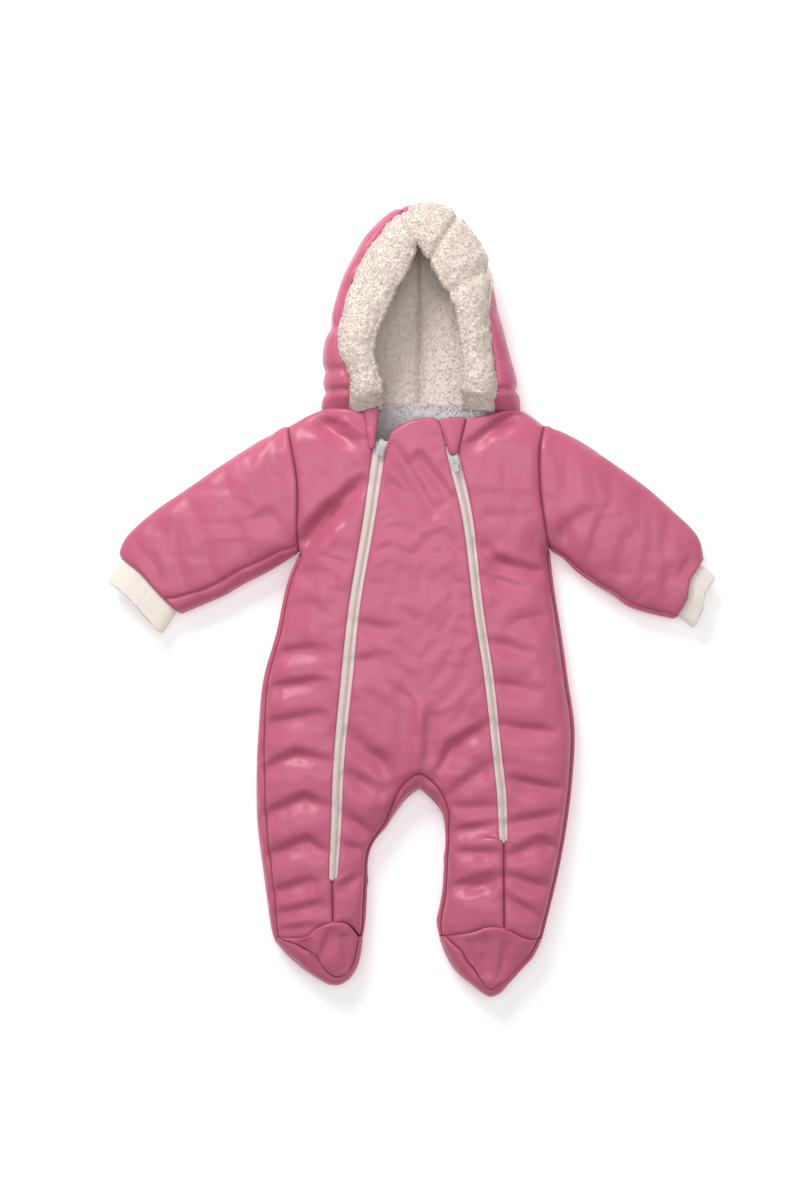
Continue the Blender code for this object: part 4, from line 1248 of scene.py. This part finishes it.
def wool_material(name, colour, shade):
    material, nodes, surface, speckle = shader(name)
    tone = (speckle(7, 3, 0.6) - 0.35) * 2.2
    mix = mixed(nodes, tone.maths("MULTIPLY", 1, clamp=True), shade, colour)
    nodes.tree.links.new(mix, surface.inputs["Base Color"])
    set_inputs(surface, Roughness=0.95, Specular_IOR_Level=0.15, Sheen_Weight=0.15, Sheen_Roughness=0.6)
    bumped(nodes, surface, speckle(2.2, 3, 0.65) + speckle(5, 2) * 0.8, 1.0)
    return material


def rib_material():
    material, nodes, surface, speckle = shader("rib")
    around = nodes.add("ShaderNodeSeparateXYZ", Vector=nodes.add("ShaderNodeUVMap", {"uv_map": "UVMap"})["UV"])
    ribs = (Value(nodes, around["X"]) * (2 * math.pi * CUFF_RIBS)).sine()
    # Painted shade and light: the colour follows the ribs' bump, darker in the grooves and lighter on the ridges.
    colour = mixed(nodes, (ribs * 0.5 + 0.5), *RIB_SHADED_AND_LIT_COLOURS)
    nodes.tree.links.new(colour, surface.inputs["Base Color"])
    set_inputs(surface, Roughness=0.9, Specular_IOR_Level=0.2)
    bumped(nodes, surface, ribs * 0.5 + speckle(2, 2) * 0.7, 0.4)
    return material


def tape_material():
    material, nodes, surface, speckle = shader("zip_tape")
    set_inputs(surface, Base_Color=(*TAPE_COLOUR, 1), Roughness=0.75)
    bumped(nodes, surface, speckle(1.4, 2), 0.3)
    return material


def metal_material():
    material, nodes, surface, speckle = shader("zip_metal")
    set_inputs(surface, Base_Color=(*METAL_COLOUR, 1), Metallic=0.6)
    nodes.tree.links.new((speckle(3, 2) * 0.15 + 0.25).socket, surface.inputs["Roughness"])
    return material


def make_materials():
    nylon_material()
    wool_material("teddy", settings().teddy_colour, settings().teddy_shade)
    wool_material("neck_lining", *NECK_LINING_COLOURS)
    rib_material()
    tape_material()
    metal_material()


def make_teddy():
    grid, out = hood_form(HOOD_ROWS * 2)
    shell_end = grid.shape[1] - FACING_STEPS
    edge, brim = grid[:, shell_end], grid[:, -1]
    # The turned-out facing stands over the shell's edge, runs to the brim and turns in round it.
    turned, ways = grid[:, shell_end:].copy(), out[:, shell_end:].copy()
    rise = np.sin(np.linspace(0, math.pi, FACING_STEPS)) ** 0.5
    turned = turned + ways * (FACING_LIFT * rise - 1.0)[None, :, None]
    down = np.array([0, 0, -1.0])
    inner = brim - edge
    inner[:, 2] = 0
    inner /= np.linalg.norm(inner, axis=1)[:, None]
    turns = np.linspace(0, math.radians(165), 9)[1:]
    centre = turned[:, -1] + down * BRIM_ROUND
    round_way = inner[:, None] * np.sin(turns)[None, :, None] - down * np.cos(turns)[None, :, None]
    rolled = centre[:, None] + round_way * BRIM_ROUND
    first_turn = np.linspace(0, math.radians(75), 5)[:0:-1]
    under = turned[:, :1] - inner[:, None] * (2.0 * np.sin(first_turn))[None, :, None]
    under = under + down * (3.0 * (1 - np.cos(first_turn)))[None, :, None]
    places = np.concatenate([under, turned, rolled], axis=1)
    outs = np.concatenate([ways[:, :1] - inner[:, None] * np.sin(first_turn)[None, :, None], ways, round_way], axis=1)
    outs /= np.maximum(np.linalg.norm(outs, axis=2), 1e-9)[..., None]
    at = np.linspace(0, 1, len(places))
    creases = sum(d * np.exp(-(((at - a) / w) ** 2)) for a, w, d in zip(*FACING_CREASES.values()))
    places = places - outs * creases[:, None, None]
    over = OVERHANG * smoothstep((at - 0.46) / 0.06) * smoothstep((0.79 - at) / 0.08)
    fade = smoothstep(1 - np.arange(places.shape[1]) / 14)
    places = places - inner[:, None] * (over[:, None] * fade)[..., None]
    teddy_piece("hood_facing", places, outs, "teddy", settings().facing_curls, lump=1.5)
    peak = HOOD_PEAK * HOOD_ROWS * 2
    for side, rows in (("right", slice(0, peak + 1)), ("left", slice(peak, None))):
        body = grid[rows, :-2] - out[rows, :-2] * LINING_DEPTH
        body[..., 2] -= np.minimum(3.0 * np.exp(-np.arange(body.shape[1]) / 1.2), body[..., 2] - 1)
        shown = (body[..., 2] < LINING_SHOWN_Z) & (abs(body[..., 0] - CENTRE_X) < LINING_SHOWN_X)
        teddy_piece(f"hood_lining_{side}", body, -out[rows, :-2], "teddy", settings().lining_curls, seed=40,
                    shown=shown)
    top, bottom = (stepped(smooth_line(xy(line)), 2.0) for line in NECK_LINING)
    bottom = even(bottom, len(top) - 1)
    ends = [even(np.array([top[k], bottom[k]]), 30) for k in (0, -1)]
    places, outs = cloth(patch(top, bottom, *ends), "back")
    teddy_piece("neck_lining", places - outs * NECK_LINING_DEPTH, -outs, "neck_lining", settings().neck_curls,
                lump=0.9, seed=80)


def make_cuffs():
    for side in ("right", "left"):
        wrist = stepped(LINES[side]["wrist"], 1.6)
        loops = []
        for face, order in (("front", slice(None)), ("back", slice(-2, 0, -1))):
            places, outs = cloth(wrist, face)
            loops.append((places[order], outs[order]))
        places = np.concatenate([loop[0] for loop in loops])
        outs = np.concatenate([loop[1] for loop in loops])
        reach = np.array([*CUFF_REACH[side], 0])
        centre = places.mean(axis=0)
        rings, normals = [], []
        for t, shrink, turn in CUFF_PROFILE:
            ring = places - outs * CUFF_INSET + reach * t
            ring = centre + reach * t + (ring - centre - reach * t) * (1 - shrink)
            ring[:, 2] = EDGE_RISE + (ring[:, 2] - EDGE_RISE) * (1 - 0.12 * max(t, 0)) * 0.82
            rings.append(ring)
            normals.append(outs * math.cos(turn) + reach / np.linalg.norm(reach) * math.sin(turn))
        tube, normal = np.array(rings), np.array(normals)
        around = np.linspace(0, 1, tube.shape[1], endpoint=False)
        turns = around * 2 * math.pi
        wave = 0.25 * np.sin(turns * 7 + 1) + 0.3 * np.sin(turns * 3)
        tube = tube + normal * wave[None, :, None]
        uvs = np.stack(np.broadcast_arrays(1 - abs(2 * around - 1), np.linspace(0, 1, len(tube))[:, None]), axis=2)
        obj = from_grid(f"cuff_{side}_cloth", look("rib"), tube, normal, closed=True, uvs=uvs.reshape(-1, 2))
        finish_cloth(obj, CUFF_WALL)
        sewn_on(obj)


def make_zips():
    tape = look("zip_tape")
    for side in ("right", "left"):
        edges = [zip_side(side, towards, TAPE_UNDER) for towards in (-1, 1)]
        edges = [edge[edge[:, 1] >= ZIP_STOP_Y[side] - 5] for edge in edges]
        outer = stepped(edges[0], 2.0)
        inner = even(edges[1], len(outer) - 1)
        width = np.linalg.norm(inner - outer, axis=1)
        shares = np.linspace(0, 1, 15)
        grid = outer[:, None] + shares[None, :, None] * (inner - outer)[:, None]
        places, outs = cloth(grid, "front")
        off = abs(shares - 0.5)[None, :] * width[:, None]
        ridge = TAPE_RISE * np.exp(-((off / 1.7) ** 2)) - 0.5 * np.exp(-((off - 2.6) ** 2) / 0.5)
        places = places - outs * (TAPE_SINK - ridge)[..., None]
        obj = from_grid(f"zip_tape_{side}_cloth", tape, places, outs)
        finish_cloth(obj, TAPE_WALL, levels=0)
        middle = len(shares) // 2
        centre = places[:, middle] + outs[:, middle] * COIL_RISE
        add_teeth(obj, centre, tape)
        sewn_on(obj)


def add_teeth(obj, centre, material):
    """The coil's teeth along the tape's middle, from a string of points that is then thrown away."""
    line = from_mesh("coil_line", material, centre, np.zeros((0, 4), int))
    mesh = bmesh.new()
    mesh.from_mesh(line.data)
    mesh.verts.ensure_lookup_table()
    for a, b in zip(mesh.verts[:-1], mesh.verts[1:]):
        mesh.edges.new((a, b))
    mesh.to_mesh(line.data)
    mesh.free()
    grow(line, teeth_tree(), Pitch=TOOTH_PITCH * MM, Tape=material)
    join(obj, line)


def teeth_tree():
    """Sets a tooth across a line at each step of the pitch."""
    name = "Zip Teeth"
    if name in bpy.data.node_groups:
        return bpy.data.node_groups[name]
    tree = new_tree(name, Pitch="Float", Tape="Material")
    g = Nodes(tree)
    given = g.add("NodeGroupInput")
    curve = g.add("GeometryNodeMeshToCurve", Mesh=given["Geometry"])
    points = g.add("GeometryNodeCurveToPoints", {"mode": "LENGTH"}, Curve=curve["Curve"], Length=given["Pitch"])
    tooth = g.add("GeometryNodeMeshIcoSphere", Radius=TOOTH_RADIUS * MM, Subdivisions=1)
    long_tooth = g.add("GeometryNodeTransform", Geometry=tooth["Mesh"])
    long_tooth.node.inputs["Scale"].default_value = TOOTH_STRETCH
    placed = g.add("GeometryNodeInstanceOnPoints", Points=points["Points"], Instance=long_tooth["Geometry"])
    turned = g.add("FunctionNodeAxesToRotation", {"primary_axis": "X", "secondary_axis": "Z"})
    tree.links.new(points["Tangent"], turned.node.inputs[0])
    turned.node.inputs[1].default_value = (0, 0, 1)
    tree.links.new(turned.node.outputs[0], placed.node.inputs["Rotation"])
    real = g.add("GeometryNodeRealizeInstances", Geometry=placed["Instances"])
    coloured = g.add("GeometryNodeSetMaterial", Geometry=real["Geometry"], Material=given["Tape"])
    g.add("NodeGroupOutput", Geometry=coloured["Geometry"])
    return tree


def make_guards():
    for side in ("right", "left"):
        top, bottom = (even(smooth_line(xy(edge)), 14) for edge in GUARDS[side])
        grid = patch(top, bottom, *(even(np.array([top[k], bottom[k]]), 26) for k in (0, -1)))
        places, outs = cloth(grid, "front")
        rows, columns = grid.shape[:2]
        across = np.sin(np.linspace(0, math.pi, columns))[None, :]
        down = np.sin(np.linspace(0, math.pi, rows))[:, None]
        puffed = GUARD_PUFF * np.sqrt(np.maximum(across * down, 0))
        places = places + outs * (GUARD_LIFT + puffed)[..., None]
        # Painted shade: the seam attribute is highest at the guard's low edges, so the nylon paints them darker
        # there.
        seam = {"seam": np.exp(-puffed.reshape(-1) * GUARD_SHADE_FADE)}
        obj = from_grid(f"zip_guard_{side}_cloth", look("nylon"), places, outs, values=seam)
        finish_cloth(obj, GUARD_WALL)
        sewn_on(obj)


def make_metal():
    for side in ("right", "left"):
        for part in ("slider", "pull"):
            node = bpy.data.objects[f"zip_{part}_{side}"]
            node.data.materials.clear()
            node.data.materials.append(look("zip_metal"))


def add_light(name, size, at, power):
    """An area light that is aimed at the suit's middle."""
    light = bpy.data.lights.new(name, "AREA")
    light.shape, light.size, light.size_y = "RECTANGLE", *size
    light.energy = power
    obj = bpy.data.objects.new(name, light)
    bpy.context.scene.collection.objects.link(obj)
    obj.location = at
    obj.rotation_euler = (-Vector(at)).to_track_quat("-Z", "Y").to_euler()


def make_stage():
    scene = bpy.context.scene
    options = settings()
    floor_mesh = bpy.data.meshes.new("floor")
    mesh = bmesh.new()
    bmesh.ops.create_grid(mesh, x_segments=1, y_segments=1, size=6)
    mesh.to_mesh(floor_mesh)
    mesh.free()
    floor = bpy.data.objects.new("floor", floor_mesh)
    scene.collection.objects.link(floor)
    material = bpy.data.materials.new("floor")
    material.use_nodes = True
    surface = material.node_tree.nodes["Principled BSDF"]
    set_inputs(surface, Base_Color=(*options.floor_colour, 1), Roughness=0.9, Specular_IOR_Level=0.1,
               Emission_Color=(1, 1, 1, 1), Emission_Strength=FLOOR_GLOW)
    floor_mesh.materials.append(material)
    add_light("key", (0.9, 0.9), (-0.75, 1.7, 1.35), options.key_power)
    add_light("fill", (1.6, 1.6), (1.5, -0.4, 1.7), options.fill_power)
    add_light("top", (2.4, 2.4), (0, 0, 3.0), options.top_power)
    for number, (size, at) in enumerate(STRIPS):
        add_light(f"strip_{number}", size, at, options.strip_power)
    world = bpy.data.worlds.new("studio")
    world.use_nodes = True
    set_inputs(world.node_tree.nodes["Background"], Color=(1, 1, 1, 1), Strength=options.world_power)
    scene.world = world
    scene.view_settings.view_transform = "Standard"
    camera = bpy.data.cameras.new("camera")
    camera.sensor_width, camera.lens = SENSOR, LENS
    camera.dof.use_dof = False
    obj = bpy.data.objects.new("camera", camera)
    scene.collection.objects.link(obj)
    obj.location = CAMERA_AT
    scene.camera = obj


def colour_setting(name, description, default):
    return FloatVectorProperty(name=name, description=description, subtype="COLOR", size=3, default=default)


class SnowsuitSettings(bpy.types.PropertyGroup):
    body_hold: FloatProperty(name="Body Hold", description="How firmly the cloth keeps its laid-out form",
                             default=0.15, min=0, max=1)
    stiffness: FloatProperty(name="Bending Stiffness", description="How stiffly the padded cloth bends", default=2.0)
    spare: FloatProperty(name="Spare Cloth", description="Share by which the cloth is longer than its form",
                         default=0.005, min=0, max=0.3)
    leg_spare: FloatProperty(name="Spare Cloth on Legs", description="The same for the legs", default=0.075, min=0,
                             max=0.3)
    fold_depth: FloatProperty(name="Fold Depth", description="Depth of the main creases, as a share of their table's",
                              default=1.5)
    pressure: FloatProperty(name="Puff Pressure", description="Pressure of the wadding on the cloth", default=4.0)
    puff_cap: FloatProperty(name="Largest Puff", description="The furthest that the cloth moves from its form",
                            default=0.009, unit="LENGTH")
    crinkle: FloatProperty(name="Crinkle Height", description="Height of the nylon's fine creases, in millimetres",
                           default=3.4)
    nylon_colour: colour_setting("Nylon", "The shell's colour", (0.57, 0.136, 0.222))
    nylon_shade: colour_setting("Nylon Shade", "The shell's colour where the dye is deeper", (0.515, 0.112, 0.192))
    # Painted shade: the darker colour that the nylon takes along its seams, where shade falls in the sunk seam lines.
    seam_colour: colour_setting("Seams", "The shell's colour along its seams", (0.42, 0.07, 0.135))
    teddy_colour: colour_setting("Teddy", "The pile's colour", (0.90, 0.80, 0.74))
    teddy_shade: colour_setting("Teddy Shade", "The pile's colour between its clumps", (0.79, 0.685, 0.62))
    curl_radius: FloatProperty(name="Curl Radius", description="Radius of one curl of pile", default=0.0010,
                               unit="LENGTH")
    facing_curls: IntProperty(name="Facing Curls", description="Curls to each square metre of the facing",
                              default=270000)
    lining_curls: IntProperty(name="Lining Curls", description="Curls to each square metre of the lining",
                              default=120000)
    neck_curls: IntProperty(name="Neck Curls", description="Curls to each square metre of the neck's lining",
                            default=130000)
    floor_colour: colour_setting("Floor", "The floor's colour", (0.93, 0.93, 0.93))
    key_power: FloatProperty(name="Key Light", description="Power of the upper left light, in watts", default=36)
    fill_power: FloatProperty(name="Fill Light", description="Power of the right light, in watts", default=5)
    top_power: FloatProperty(name="Top Light", description="Power of the light overhead, in watts", default=7)
    strip_power: FloatProperty(name="Strip Lights", description="Power of each narrow light, in watts", default=3.4)
    world_power: FloatProperty(name="World Light", description="Strength of the light all round", default=0.33)


def step(name, label, description, *makers):
    """An operator that runs one step of making the suit."""

    def execute(self, context):
        for make in makers:
            make()
        return {"FINISHED"}

    fields = {"bl_idname": f"snowsuit.{name}", "bl_label": label, "bl_description": description, "execute": execute}
    return type(f"SNOWSUIT_OT_{name}", (bpy.types.Operator,), fields)


STEPS = (
    step("materials", "Make Materials", "Make the suit's materials", make_materials),
    step("shell", "Sew Shell", "Sew and puff the nylon panels: the front, back, sleeves, feet and hood", make_shell),
    step("teddy", "Add Teddy Lining", "Make the hood's lining, its facing and the lining at the neck", make_teddy),
    step("cuffs", "Knit Cuffs", "Knit the two cuffs", make_cuffs),
    step("zips", "Add Zips", "Add the zips' tapes, teeth and guards, and finish their metal", make_zips, make_guards,
         make_metal),
    step("stage", "Set Stage", "Set up the floor, the lights and the camera", make_stage),
)


class SNOWSUIT_PT_panel(bpy.types.Panel):
    """The suit's settings and the steps that make it"""

    bl_label = "Padded Snowsuit"
    bl_idname = "SNOWSUIT_PT_panel"
    bl_space_type = "VIEW_3D"
    bl_region_type = "UI"
    bl_category = "Snowsuit"

    def draw(self, context):
        options = context.scene.snowsuit
        for name in SnowsuitSettings.__annotations__:
            self.layout.prop(options, name)
        for step in STEPS:
            self.layout.operator(step.bl_idname)


CLASSES = (SnowsuitSettings, *STEPS, SNOWSUIT_PT_panel)


def register():
    for cls in CLASSES:
        bpy.utils.register_class(cls)
    bpy.types.Scene.snowsuit = PointerProperty(type=SnowsuitSettings)


def unregister():
    del bpy.types.Scene.snowsuit
    for cls in reversed(CLASSES):
        bpy.utils.unregister_class(cls)


def main():
    register()
    collection = bpy.data.collections.new("Snowsuit")
    bpy.context.scene.collection.children.link(collection)
    bpy.ops.snowsuit.materials()
    bpy.ops.snowsuit.shell()
    bpy.ops.snowsuit.teddy()
    bpy.ops.snowsuit.cuffs()
    bpy.ops.snowsuit.zips()
    bpy.ops.snowsuit.stage()


if __name__ == "__main__":
    main()
